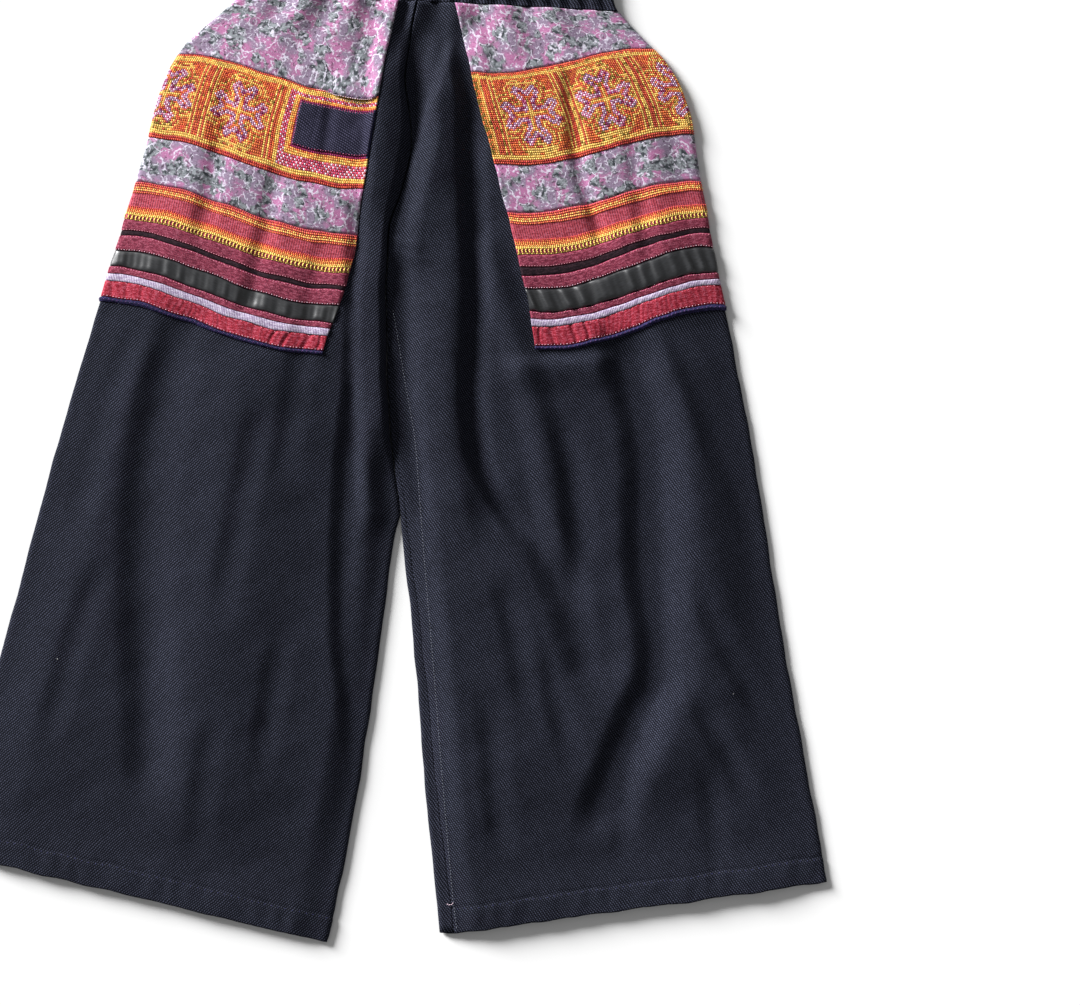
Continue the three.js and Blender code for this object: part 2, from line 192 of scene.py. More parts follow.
def dent(place: Array, middle: Array | float, width: float) -> Array:
    """A soft bell that is 1 at its middle and fades over its width."""
    return np.exp(-(((place - middle) / width) ** 2))


def turned(inward: Array, reach: Array | float = FOLD_REACH) -> Array:
    """The share of its full height that a folded edge has reached inward of the edge."""
    rest = 1 - np.clip(inward / reach, 0.0, 1.0)
    return np.sqrt(np.maximum(1 - rest * rest, 0.0))


@dataclass(frozen=True)
class Ripple:
    """Slow uneven waves of the cloth: their height, length and where they fall."""

    rise: float
    size: float
    seed: float
    waves: int = 5

    def lift(self, x: Array, drop: Array) -> Array:
        """How far the waves lift the cloth.

        Args:
            x: places across the garment.
            drop: their drops.

        Returns:
            The lift at each place.
        """
        total = np.zeros_like(x)
        for n in range(self.waves):
            angle = 0.9 + 1.37 * n + self.seed
            length = self.size * (0.62 + 0.23 * n)
            phase = 2.1 * n * n + 5.3 * self.seed
            place = (x * math.cos(angle) + drop * math.sin(angle)) / length
            total += np.sin(2 * np.pi * place + phase + 1.1 * np.sin(0.7 * place + phase))
        return self.rise * (total / self.waves)


FACE_RIPPLES = (Ripple(0.8, 74, 0.3), Ripple(0.22, 23, 1.9))
ACROSS_RIPPLES = (Ripple(1.1, 62, 3.1), Ripple(0.25, 19, 0.6))
BELOW_RIPPLES = (Ripple(1.5, 48, 4.7), Ripple(0.35, 17, 2.4))
BAND_RIPPLE = Ripple(0.14, 19, 0.8)
APPLIQUE_RIPPLE = Ripple(0.16, 16, 2.2)


@dataclass(frozen=True)
class Line:
    """A smooth line over the laid garment, through rows of (drop, out)."""

    rows: tuple[tuple[float, float], ...]

    def at(self, drop: Array) -> Array:
        """Follows the line.

        Args:
            drop: drops below the waist edge.

        Returns:
            How far out the line lies at each drop.
        """
        shadow_and_fray_rows = np.array([row[0] for row in self.rows])
        outs = np.array([row[1] for row in self.rows])
        before = np.maximum(np.arange(len(shadow_and_fray_rows)) - 1, 0)
        after = np.minimum(np.arange(len(shadow_and_fray_rows)) + 1, len(shadow_and_fray_rows) - 1)
        slope = (outs[after] - outs[before]) / (shadow_and_fray_rows[after] - shadow_and_fray_rows[before])
        i = np.searchsorted(shadow_and_fray_rows[1:-1], drop, "left")
        step = shadow_and_fray_rows[i + 1] - shadow_and_fray_rows[i]
        t = np.clip((drop - shadow_and_fray_rows[i]) / step, 0.0, 1.0)
        start = (1 + 2 * t) * (1 - t) ** 2 * outs[i] + t * (1 - t) ** 2 * step * slope[i]
        end = t * t * (3 - 2 * t) * outs[i + 1] + t * t * (t - 1) * step * slope[i + 1]
        return start + end


@dataclass(frozen=True)
class Fold:
    """A soft ridge or trough of the laid cloth.

    Its line runs along the middle of its left flank, as (drop, x), or for a level fold along
    the middle of its upper flank, as (x, drop). minus and plus are its half widths before and
    after its crest.
    """

    line: tuple[tuple[float, float], ...]
    minus: float
    plus: float
    rise: float
    fade: float = FOLD_FADE
    level: bool = False

    def lift(self, x: Array, drop: Array) -> Array:
        """How far the fold lifts the cloth.

        Args:
            x: places across the garment.
            drop: their drops.

        Returns:
            The lift at each place, below zero in a trough.
        """
        along, over = (x, drop) if self.level else (drop, x)
        first, last = self.line[0][0], self.line[-1][0]
        away = over - Line(self.line).at(along) - self.minus / 2
        near = np.clip(np.abs(away) / np.where(away < 0, self.minus, self.plus), 0.0, 1.0)
        ends = smooth((along - first) / self.fade) * smooth((last - along) / self.fade)
        return self.rise * ends * (0.5 + 0.5 * np.cos(np.pi * near))


SIDE_LINE = Line((
    (0, 178), (35, 187), (88, 240), (133, 263), (198, 277), (277, 296),
    (366, 319), (485, 348), (663, 386), (782, 414), (892, 440),
))
MIDDLE_LINE = Line((
    (0, -8), (105, -22), (178, -12), (222, -20), (262, -30), (364, -28), (463, -19), (548, -4),
))
INSEAM_LINE = Line((
    (300, -33), (363, -17.8), (418, -5.8), (470, 6.1), (532, 14.3), (614, 25.2), (711, 38.5),
    (815, 52.2), (928, 68), (961, 74),
))
PARTING_DROP = 548.0
PARTING_OUT = -4.0

# The large folds
FOLDS = (
    Fold(((40, -50), (110, -51), (155, -53), (215, -55), (275, -57), (335, -60), (415, -56),
          (465, -49), (580, -40)), 18, 36, 6.5),
    Fold(((48, -24), (113, -20), (153, -16), (180, -16), (247, -27), (304, -30), (361, -28),
          (414, -24), (466, -16), (506, -7), (560, 4)), 17, 24, -8.5, 30),
    Fold(((56, 26), (101, 14), (122, 9), (142, 1), (179, -7), (213, -15), (246, -22), (310, -27)),
         14, 46, 7.0, 34),
    Fold(((140, -2), (223, 4), (310, 11), (423, 13), (489, 24), (590, 44)), 44, 30, 6.5),
    Fold(((40, 24), (101, 28), (130, 34), (223, 41), (310, 50), (423, 52), (460, 57), (489, 62),
          (528, 84), (570, 112)), 15, 22, -6.5, 34),
    Fold(((250, 50), (309, 66), (358, 85), (420, 106), (476, 122), (519, 131), (600, 150)),
         24, 26, 4.6, 40),
    Fold(((220, -71), (266, -68), (316, -67), (396, -63), (496, -68), (566, -68), (629, -66),
          (696, -60), (762, -47), (830, -34)), 17, 34, -5.2, 60),
    Fold(((340, -190), (500, -202), (650, -214), (800, -224), (920, -230)), 70, 112, 7.0, 90),
    Fold(((340, 184), (372, 192), (402, 201), (441, 215), (481, 222), (588, 228), (660, 244),
          (700, 243), (734, 228), (802, 205), (870, 184)), 32, 46, -9.5, 50),
    Fold(((330, 212), (361, 229), (400, 248), (452, 267), (538, 275), (611, 276), (689, 271),
          (747, 256), (840, 225)), 40, 90, 5.5, 60),
    Fold(((540, 4), (620, 12), (700, 22), (850, 42), (985, 60)), 40, 170, 5.0, 80),
    Fold(((76, 390), (120, 387), (160, 383), (215, 375)), 14, 34, 4.5, 34, True),
    Fold(((500, 76), (515, 86), (554, 108), (590, 134), (620, 150), (680, 170), (740, 182)),
         30, 40, -6.0, 60),
    Fold(((340, -246), (460, -268), (570, -276), (700, -268), (860, -252)), 32, 42, -6.0, 60),
    Fold(((84, 131), (102, 134), (140, 139), (177, 144), (206, 152), (240, 166), (280, 178)),
         13, 17, -4.0, 26),
    Fold(((140, 196), (190, 204), (240, 214), (300, 228)), 15, 20, -3.0, 34),
    Fold(((110, 232), (170, 243), (225, 256)), 12, 17, -2.6, 30),
    Fold(((190, -150), (240, -156), (320, -168), (372, -180)), 15, 18, -2.8, 34),
    Fold(((90, -204), (180, -212), (300, -228)), 17, 20, -3.0, 40),
    Fold(((96, -96), (150, -99), (214, -104)), 9, 12, -1.6, 26),
    Fold(((50, 925), (196, 905), (330, 882), (440, 862)), 56, 40, 4.2, 30, True),
    Fold(((-440, 874), (-330, 894), (-186, 917), (-50, 938)), 56, 40, 4.2, 30, True),
)

# The finer creases
CREASES = (
    Fold(((425, 136), (455, 143), (485, 151), (551, 162), (640, 172)), 20, 26, -3.0, 44),
    Fold(((325, 226), (347, 242), (398, 271), (443, 290), (477, 302), (509, 323), (555, 341),
          (600, 352)), 22, 30, -3.6, 50),
    Fold(((590, 284), (627, 297), (650, 308), (686, 330), (708, 345), (745, 362)), 20, 26, -3.0, 44),
    Fold(((700, 290), (744, 306), (789, 336), (825, 352)), 19, 24, -2.8, 40),
    Fold(((776, 300), (810, 309), (864, 317), (900, 322)), 18, 22, -2.4, 40),
    Fold(((710, 78), (753, 86), (788, 91), (848, 99), (900, 106)), 18, 24, -2.4, 50),
    Fold(((654, 134), (695, 144), (725, 152), (759, 162), (800, 174)), 18, 24, -2.6, 46),
    Fold(((590, 88), (628, 97), (667, 107), (717, 119), (760, 129)), 18, 24, -2.4, 50),
    Fold(((560, 188), (610, 194), (650, 203), (720, 210)), 17, 22, -2.0, 50),
    Fold(((770, 232), (820, 226), (900, 224)), 17, 22, -1.8, 44),
    Fold(((250, -98), (330, -112), (430, -126), (540, -136)), 18, 24, -2.0, 60),
    Fold(((420, -154), (520, -170), (680, -190)), 20, 24, -2.4, 70),
    Fold(((600, -306), (700, -336), (810, -358)), 19, 24, -2.4, 60),
    Fold(((650, -122), (730, -132), (830, -142)), 18, 22, -2.0, 60),
    Fold(((340, -276), (470, -322), (600, -346)), 22, 28, -3.0, 60),
    Fold(((740, -186), (830, -196), (910, -200)), 18, 22, -1.8, 50),
    Fold(((-30, 268), (-10, 275), (8, 278)), 5, 6, 1.3, 12, True),
    Fold(((-24, 283), (-2, 290), (20, 291)), 5, 5, 0.9, 12, True),
    Fold(((-6, 330), (14, 333), (34, 331)), 6, 8, 0.6, 12, True),
)


@dataclass(frozen=True)
class Band:
    """One of the strips that a hip patch is pieced from.

    left and right give the drops of its lower edge at the patch's front edge and at the side.
    """

    name: str
    left: tuple[float, float]
    right: tuple[float, float]
    thick: float
    cuts: tuple[float, ...] = ()
    relief: Relief = Relief.FLAT

    def edge(self, side: Side) -> tuple[float, float]:
        """The drops of the lower edge on one leg."""
        return self.left if side is Side.LEFT else self.right


BANDS = (
    Band("batik_top", (104.5, 71), (134, 100), 0.8, (0.3, 0.62)),
    Band("embroidery", (195.5, 154.5), (226.5, 185), 1.0, (0.2, 0.45, 0.7)),
    Band("batik_low", (241, 200), (271.5, 230), 0.8),
    Band("braid", (283.5, 236.5), (310.5, 267), 0.9, (0.6,)),
    Band("tape_high", (295, 246.5), (324, 278), 1.1, (), Relief.TAPE),
    Band("cord_dark", (303, 251), (328, 283), 0.7, (), Relief.TAPE),
    Band("tape_low", (316, 264.5), (343, 298), 1.1, (), Relief.TAPE),
    Band("sateen", (339.5, 290.5), (360, 315), 0.8, (), Relief.SATIN),
    Band("tape_thin", (346.5, 297), (366, 322), 1.0, (), Relief.TAPE),
    Band("ribbon", (353.5, 302.5), (374, 329), 1.5, (), Relief.TWISTED),
    Band("crimson", (372, 321), (389, 345), 1.0, (), Relief.PUCKERED),
    Band("piping", (376, 327), (393, 350), 1.5, (), Relief.ROUND),
)


@dataclass
class Cloth:
    """A grid of places on a stretch of cloth, in metres.

    Rows run from waist to hem and columns along the section. away is the unit direction off
    the cloth's face, and cut is each place's position on the flat cloth.
    """

    points: Array
    away: Array
    cut: Array

    def lifted(self, height: Array | float) -> Cloth:
        """The same grid raised off its face by a height in millimetres."""
        rise = np.broadcast_to(height, self.points.shape[:2])[..., None] * MM
        return Cloth(self.points + self.away * rise, self.away, self.cut)

    def at(self, row: Array, column: Array) -> tuple[Array, Array]:
        """Reads the cloth between its grid points.

        Args:
            row: fractional row numbers.
            column: fractional column numbers.

        Returns:
            Places and unit directions off the face.
        """
        rows, columns = self.points.shape[:2]
        r = np.clip(row, 0, rows - 1.000001)
        c = np.clip(column, 0, columns - 1.000001)
        r0, c0 = r.astype(int), c.astype(int)
        fr, fc = (r - r0)[:, None], (c - c0)[:, None]
        blend = []
        for grid in (self.points, self.away):
            upper = mix(grid[r0, c0], grid[r0, c0 + 1], fc)
            lower = mix(grid[r0 + 1, c0], grid[r0 + 1, c0 + 1], fc)
            blend.append(mix(upper, lower, fr))
        return blend[0], unit(blend[1])

    def size(self) -> tuple[float, float, float]:
        """The greatest width and length, and the area, of what is laid out here."""
        across = np.linalg.norm(np.diff(self.points, axis=1), axis=2)
        down = np.linalg.norm(np.diff(self.points, axis=0), axis=2)
        one = self.points[1:, 1:] - self.points[:-1, :-1]
        two = self.points[1:, :-1] - self.points[:-1, 1:]
        area = 0.5 * np.linalg.norm(np.cross(one, two), axis=2).sum()
        return float(across.sum(axis=1).max()), float(down.sum(axis=0).max()), float(area)


def facing(points: Array, sign: float) -> Array:
    """Unit directions off the face of a grid.

    Args:
        points: the grid's places.
        sign: 1 or -1, which of its two faces is meant.

    Returns:
        One direction for each place.
    """
    return unit(sign * np.cross(np.gradient(points, axis=0), np.gradient(points, axis=1)))


@dataclass(frozen=True)
class LegForm:
    """The form of one leg as it is laid: a section carried down from waistband to hem."""

    side: Side
    inner: Line
    patch: Line
    hem: tuple[float, float, float]
    seam_top: float
    seam_hem: float
    calm_from: float
    inner_columns: int = 46
    outer_columns: int = 62
    back_inner_columns: int = 16
    back_outer_columns: int = 34

    @property
    def name(self) -> str:
        """The leg's side in lower case."""
        return self.side.name.lower()

    def rows(self) -> tuple[Array, list[int]]:
        """The rows that the bands and the lower leg are measured by.

        Returns:
            Rows of middle, patch and side drop, curve and base height, and the row number of
            each band's edges.
        """
        top = BAND_DEPTH + SEAM
        rows = [[top, top, top, 1.0, UNDER_PATCH]]
        edges = [0]
        for band in BANDS:
            above = rows[-1]
            low = ((band.left[0] + band.right[0]) / 2, *band.edge(self.side))
            for share in (*band.cuts, 1.0):
                shadow_and_fray_rows = (mix(above[n], low[n], share) for n in range(3))
                rows.append([*shadow_and_fray_rows, 1.0, UNDER_PATCH])
            edges.append(len(rows) - 1)
        nearest = min(rows, key=lambda row: abs(row[0] - CROTCH_DROP))
        nearest[0] = CROTCH_DROP
        first = [part + RAMP for part in rows[-1][:3]]
        for n in range(LOWER_ROWS + 1):
            share = n / LOWER_ROWS
            own = (self.hem[0] - HEM_MIDDLE) * float(smooth((share - LEGS_PART) / (1 - LEGS_PART)))
            shadow_and_fray_rows = [mix(a, b, share) for a, b in zip(first, (HEM_MIDDLE, *self.hem[1:]))]
            rows.append([shadow_and_fray_rows[0] + own, *shadow_and_fray_rows[1:], 1.0 - share, 0.0])
        return np.array(rows), edges

    def inner_at(self, drop: Array) -> Array:
        """How far out the leg begins.

        Args:
            drop: drops below the waist edge.

        Returns:
            Places out, along the line that both legs share and then the leg's own.
        """
        start = (PARTING_DROP, self.side.value * PARTING_OUT)
        shared = self.side.value * MIDDLE_LINE.at(drop)
        own = Line((start, *self.inner.rows)).at(drop)
        return np.where(drop <= PARTING_DROP, shared, own)

    def front_height(self, out: Array, drop: Array, gather: Array, hem: Array) -> Array:
        """The height of the front's face away from its edges.

        Args:
            out: places across the leg.
            drop: their drops.
            gather: the gathers' wave at each place.
            hem: 0 at the hem, 1 well above it.

        Returns:
            Heights above the floor.
        """
        x = self.side.value * out
        waist = 1 - smooth((drop - BAND_DEPTH) / (GATHER_END - BAND_DEPTH))
        top = smooth((drop - BAND_DEPTH) / FULL_REACH)
        full = mix(FRONT_AT_HEM, mix(FRONT_AT_WAIST, FRONT_FULL, top), hem)
        folds = sum(form.lift(x, drop) for form in (*FACE_RIPPLES, *FOLDS, *CREASES))
        lift = full + waist * (WAIST_FULL + GATHER_RISE * gather)
        lift = lift + folds * mix(0.7, 1.0, hem) * mix(0.6, 1.0, top)
        return FRONT_LOW + 0.5 * (lift + np.sqrt(lift * lift + 1))

    def front_points(self, row: dict[str, Array], out: Array, drop: Array, gather: Array) -> Array:
        """Points of the front's face.

        Args:
            row: the rows' lines and base heights, one column each.
            out: places across the leg.
            drop: their drops.
            gather: the gathers' wave.

        Returns:
            Points of out, drop and height.
        """
        inward = out - row["inner"]
        outward = row["side"] - out
        half = row["base"] + FOLD_HALF
        edge = row["base"] + 2 * FOLD_HALF + SEAM
        rising = smooth((inward - CALM_STRIP) / INNER_CALM)
        calm = smooth(outward / SIDE_CALM) * mix(1.0, rising, row["calm"])
        free = mix(edge, self.front_height(out, drop, gather, row["hem"]), calm)
        seam = turned(inward, mix(SEAM_REACH, FOLD_REACH, row["open"]))
        height = half + (free - half) * seam * turned(outward)
        return np.stack([out, drop, height], axis=2)

    def lines(self, t: Array) -> dict[str, Array]:
        """The lines that a section of the leg is drawn between, at each of some rows.

        Args:
            t: fractional row numbers.

        Returns:
            Drops, places out, heights and shares by name, one column each.
        """
        table, _ = self.rows()
        numbers = np.arange(len(table))
        names = ("middle", "patch_drop", "side_drop", "curve", "base")
        row = {name: np.interp(t, numbers, table[:, n])[:, None] for n, name in enumerate(names)}
        row["inner"] = self.inner_at(row["middle"]) + SEAM / 2
        row["patch"] = self.patch.at(row["patch_drop"])
        row["side"] = SIDE_LINE.at(row["side_drop"])
        row["open"] = smooth((row["middle"] - CROTCH_DROP) / OPENING)
        row["calm"] = smooth((row["middle"] - self.calm_from) / CALM_RAMP)
        row["hem"] = smooth((len(table) - 1 - t[:, None]) * LOWER_STEP / HEM_REACH)
        return row

    def outer_drop(self, row: dict[str, Array], share: Array) -> Array:
        """The drop along the outer stretch, up to the side in a slow curve."""
        eased = mix(share, smooth(share) ** 1.25, row["curve"])
        return mix(row["patch_drop"], row["side_drop"], eased)

    def front_parts(self, row: dict[str, Array], start: Array) -> list[Array]:
        """The front's face, up to the patch's front edge and then on to the side.

        Args:
            row: the rows' lines.
            start: where the front begins.

        Returns:
            Two grids of points of out, drop and height.
        """
        shares = np.concatenate([NEAR_EDGE, np.linspace(0.105, 1, self.inner_columns)])[None, :]
        out = mix(start, row["patch"], shares)
        drop = mix(row["middle"], row["patch_drop"], shares)
        gather = np.broadcast_to(np.cos(2 * np.pi * shares), out.shape)
        inner = self.front_points(row, out, drop, gather)
        spread = np.linspace(0, 0.95, self.outer_columns)[1:]
        shares = np.concatenate([spread, ROUNDING])[None, :]
        out = mix(row["patch"], row["side"], shares)
        gather = np.broadcast_to(np.cos(2 * np.pi * GATHERS_OUTER * shares), out.shape)
        return [inner, self.front_points(row, out, self.outer_drop(row, shares), gather)]

    def back_parts(self, row: dict[str, Array], above: Array, shift: Array) -> list[Array]:
        """The back's face, from the side to the patch's back edge, to the inner fold and up it.

        Args:
            row: the rows' lines.
            above: whether each row is above the crotch.
            shift: how far the seam lies out of the fold.

        Returns:
            Three grids of points of out, drop and height.
        """
        inner, patch, side, base = (row[name] for name in ("inner", "patch", "side", "base"))
        spread = np.linspace(0.0, 0.955, self.back_outer_columns)
        shares = np.concatenate([spread, ROUNDING])[:-1][None, :]
        out = mix(patch, side, shares)
        height = mix(base + FOLD_HALF, base, turned(side - out))
        outer = np.stack([out, self.outer_drop(row, shares), height], axis=2)
        width = patch - inner
        ramp = 1 - np.minimum(RAMP / width, RAMP_MOST)
        spread = np.linspace(0, 1, self.back_inner_columns)[None, :]
        shares = np.concatenate([mix(FOLD_END / width, ramp, spread), mix(ramp, 1, 0.5)], axis=1)
        height = base * smooth((shares - ramp) / (1 - ramp))
        drop = mix(row["middle"], row["patch_drop"], shares)
        flat = np.stack([mix(inner, patch, shares), drop, height], axis=2)
        places = np.array(FOLD_PLACES)[None, :]
        out = inner + places + np.where(above, shift * (1 - places / FOLD_END), 0.0)
        height = np.where(above, 0.0, (base + FOLD_HALF) * (1 - turned(places)))
        drop = mix(row["middle"], row["patch_drop"], places / width)
        fold = np.stack([out, drop, height + 0 * out], axis=2)
        return [part[:, ::-1] for part in (outer, flat, fold)]

    def seam_part(self, row: dict[str, Array], above: Array, shift: Array) -> Array:
        """The strip of the back that turns over the inner fold, up to the inseam.

        Args:
            row: the rows' lines.
            above: whether each row is above the crotch.
            shift: how far the seam lies out of the fold.

        Returns:
            Points of out, drop and height.
        """
        along = np.linspace(0, 1, SEAM_COLUMNS + 1)[None, 1:]
        drop = np.broadcast_to(row["middle"], (len(above), SEAM_COLUMNS))
        turn = self.front_points(row, row["inner"] + shift * along, drop, along * 0)
        flat = np.stack([row["inner"] + shift * (1 - along), drop, along * shift * 0], axis=2)
        return np.where(above[..., None], flat, turn)

    def ring(self, t: Array) -> tuple[Array, dict[Stretch, slice]]:
        """The leg's section at each of some rows, over the front, round the side and back.

        Args:
            t: fractional row numbers.

        Returns:
            Points of out, drop and height, and the columns of each stretch.
        """
        row = self.lines(t)
        above = row["middle"] < CROTCH_DROP
        down = np.maximum((row["middle"] - CROTCH_DROP) / (self.hem[0] - CROTCH_DROP), 0.0)
        shift = mix(self.seam_top, self.seam_hem, down)
        parts = self.front_parts(row, row["inner"] + np.where(above, 0.0, shift))
        parts += self.back_parts(row, above, shift)
        if self.seam_top > 0:
            parts.append(self.seam_part(row, above, shift))
        ring = np.concatenate(parts, axis=1)
        patch_first = parts[0].shape[1] - 1
        side_column = patch_first + parts[1].shape[1]
        patch_last = side_column + parts[2].shape[1]
        spans = {
            Stretch.FRONT: slice(0, side_column + 1),
            Stretch.BACK: slice(side_column, ring.shape[1]),
            Stretch.PATCH: slice(patch_first, patch_last + 1),
        }
        return ring, spans

    def cloth(self, t: Array, stretch: Stretch) -> Cloth:
        """A stretch of the leg's section over some rows, as cloth.

        Args:
            t: fractional row numbers.
            stretch: which columns of the section.

        Returns:
            The cloth, its cut laid out with the grain down the leg.
        """
        ring, spans = self.ring(t)
        sign = self.side.value
        x, drop = sign * ring[..., 0], ring[..., 1]
        loose = smooth((drop - BAND_DEPTH) / LOOSE_RAMP)
        across = x + loose * sum(form.lift(x, drop) for form in ACROSS_RIPPLES)
        below = drop + loose * sum(form.lift(x, drop) for form in BELOW_RIPPLES)
        points = np.stack([across, LENGTH / 2 - below, ring[..., 2]], axis=2)
        away = facing(points, sign)
        span = spans[stretch]
        points, away = points[:, span], away[:, span]
        step = np.diff(points, axis=1)
        across = np.hypot(step[..., 0], step[..., 2])
        u = np.concatenate([np.zeros((len(t), 1)), np.cumsum(across, axis=1)], axis=1)
        at = spans[Stretch.PATCH].start if stretch is Stretch.FRONT else 0
        u = u - u[:, at : at + 1] + ring[:, span][:, at : at + 1, 0]
        cut = np.stack([u, points[..., 1]], axis=2)
        return Cloth(points * MM, away, cut * MM)

    def fine_rows(self, step: float) -> Array:
        """Row numbers close enough together for a smooth piece.

        Args:
            step: the most that two rows may lie apart, in millimetres.

        Returns:
            Fractional row numbers, from the waistband to the hem.
        """
        table, _ = self.rows()
        found = [0.0]
        for n, (above, below) in enumerate(zip(table[:, :3], table[1:, :3])):
            count = max(1, math.ceil(np.abs(below - above).max() / step))
            found.extend(n + (k + 1) / count for k in range(count))
        return np.array(found)


LEFT_FORM = LegForm(
    side=Side.LEFT,
    inner=Line(((573, -1), (692, 17.5), (811, 33), (962, 56.5))),
    patch=Line(((35, 24), (98, 42), (376, 121.5), (941, 196))),
    hem=(962, 938, 892),
    seam_top=0.8,
    seam_hem=15,
    calm_from=290,
)
RIGHT_FORM = LegForm(
    side=Side.RIGHT,
    inner=Line(((573, 9), (694, 19.5), (815, 31), (936, 48), (978, 56))),
    patch=Line(((35, 32), (103, 43), (227, 57), (310, 67), (393, 89.5), (957, 186))),
    hem=(978, 953, 906),
    seam_top=0,
    seam_hem=0,
    calm_from=455,
)


@dataclass
class Board:
    """Adds nodes to one node tree and joins them."""

    tree: bpy.types.NodeTree

    def feed(self, socket: bpy.types.NodeSocket, value: object) -> None:
        """Joins a socket to another one, or sets the value that it has by itself.

        Args:
            socket: the input.
            value: an output socket, a number or a tuple.
        """
        if isinstance(value, bpy.types.NodeSocket):
            self.tree.links.new(value, socket)
        elif socket.type == "RGBA" and len(value) == 3:
            socket.default_value = (*value, 1.0)
        else:
            socket.default_value = value

    def node(self, kind: str, inputs: dict | None = None, **settings: object) -> bpy.types.Node:
        """Adds a node.

        Args:
            kind: the node's type without its prefix.
            inputs: values or sockets for its inputs, by name or number.
            **settings: its own settings.

        Returns:
            The node.
        """
        made = self.tree.nodes.new("ShaderNode" + kind)
        for key, value in settings.items():
            setattr(made, key, value)
        for key, value in (inputs or {}).items():
            self.feed(made.inputs[key], value)
        return made

    def math(self, operation: str, a: object, b: object = 0.0) -> Socket:
        """One step of arithmetic, as an output socket."""
        return self.node("Math", {0: a, 1: b}, operation=operation).outputs[0]

    def scaled(self, value: object, times: float, plus: float) -> Socket:
        """A value times one number plus another."""
        return self.node("Math", {0: value, 1: times, 2: plus}, operation="MULTIPLY_ADD").outputs[0]

    def vector(self, operation: str, a: object, b: object) -> Socket:
        """One step of arithmetic on places, where SCALE takes a number."""
        inputs = {0: a, "Scale" if operation == "SCALE" else 1: b}
        return self.node("VectorMath", inputs, operation=operation).outputs[0]

    def blend(self, factor: object, a: object, b: object) -> Socket:
        """Two colours mixed."""
        return self.node("Mix", {0: factor, 6: a, 7: b}, data_type="RGBA").outputs[2]

    def wave(self, turns: object, shift: float) -> Socket:
        """A wave from 0 to 1 that repeats once a turn."""
        angle = self.math("MULTIPLY", self.math("ADD", turns, shift), 2 * math.pi)
        return self.scaled(self.math("SINE", angle), 0.5, 0.5)

    def step(self, value: object, low: float, high: float) -> Socket:
        """A smooth mask that rises from 0 at low to 1 at high."""
        inputs = {"Value": value, "From Min": low, "From Max": high}
        return self.node("MapRange", inputs, interpolation_type="SMOOTHSTEP").outputs["Result"]

    def noise(self, place: object, scale: float, detail: float = 2.0) -> Socket:
        """Soft noise over a place given in millimetres; scale is the size of its grain."""
        return self.node("TexNoise", {"Vector": place, "Scale": 1 / scale, "Detail": detail}).outputs[0]

    def shaded(self, colour: object, value: object) -> Socket:
        """A colour made lighter or darker."""
        return self.node("HueSaturation", {"Value": value, "Color": colour}).outputs[0]

    def stretch(self, place: object, turn: float, scale: Colour) -> Socket:
        """A place turned about its middle and then scaled.

        Args:
            place: the place.
            turn: how far it is turned, in degrees.
            scale: its scale along each axis.

        Returns:
            The new place.
        """
        turn_by = {"Vector": place, "Rotation": (0.0, 0.0, math.radians(turn))}
        scale_by = {"Vector": self.node("Mapping", turn_by).outputs[0], "Scale": scale}
        return self.node("Mapping", scale_by).outputs[0]

    def parts(self, place: object) -> tuple[Socket, Socket]:
        """The numbers of a place along and down the cloth."""
        made = self.node("SeparateXYZ", {0: place})
        return made.outputs[0], made.outputs[1]

    def bump(self, height: object, distance: float, strength: float) -> Socket:
        """A normal that follows a height; distance in metres."""
        inputs = {"Height": height, "Distance": distance, "Strength": strength}
        return self.node("Bump", inputs).outputs[0]


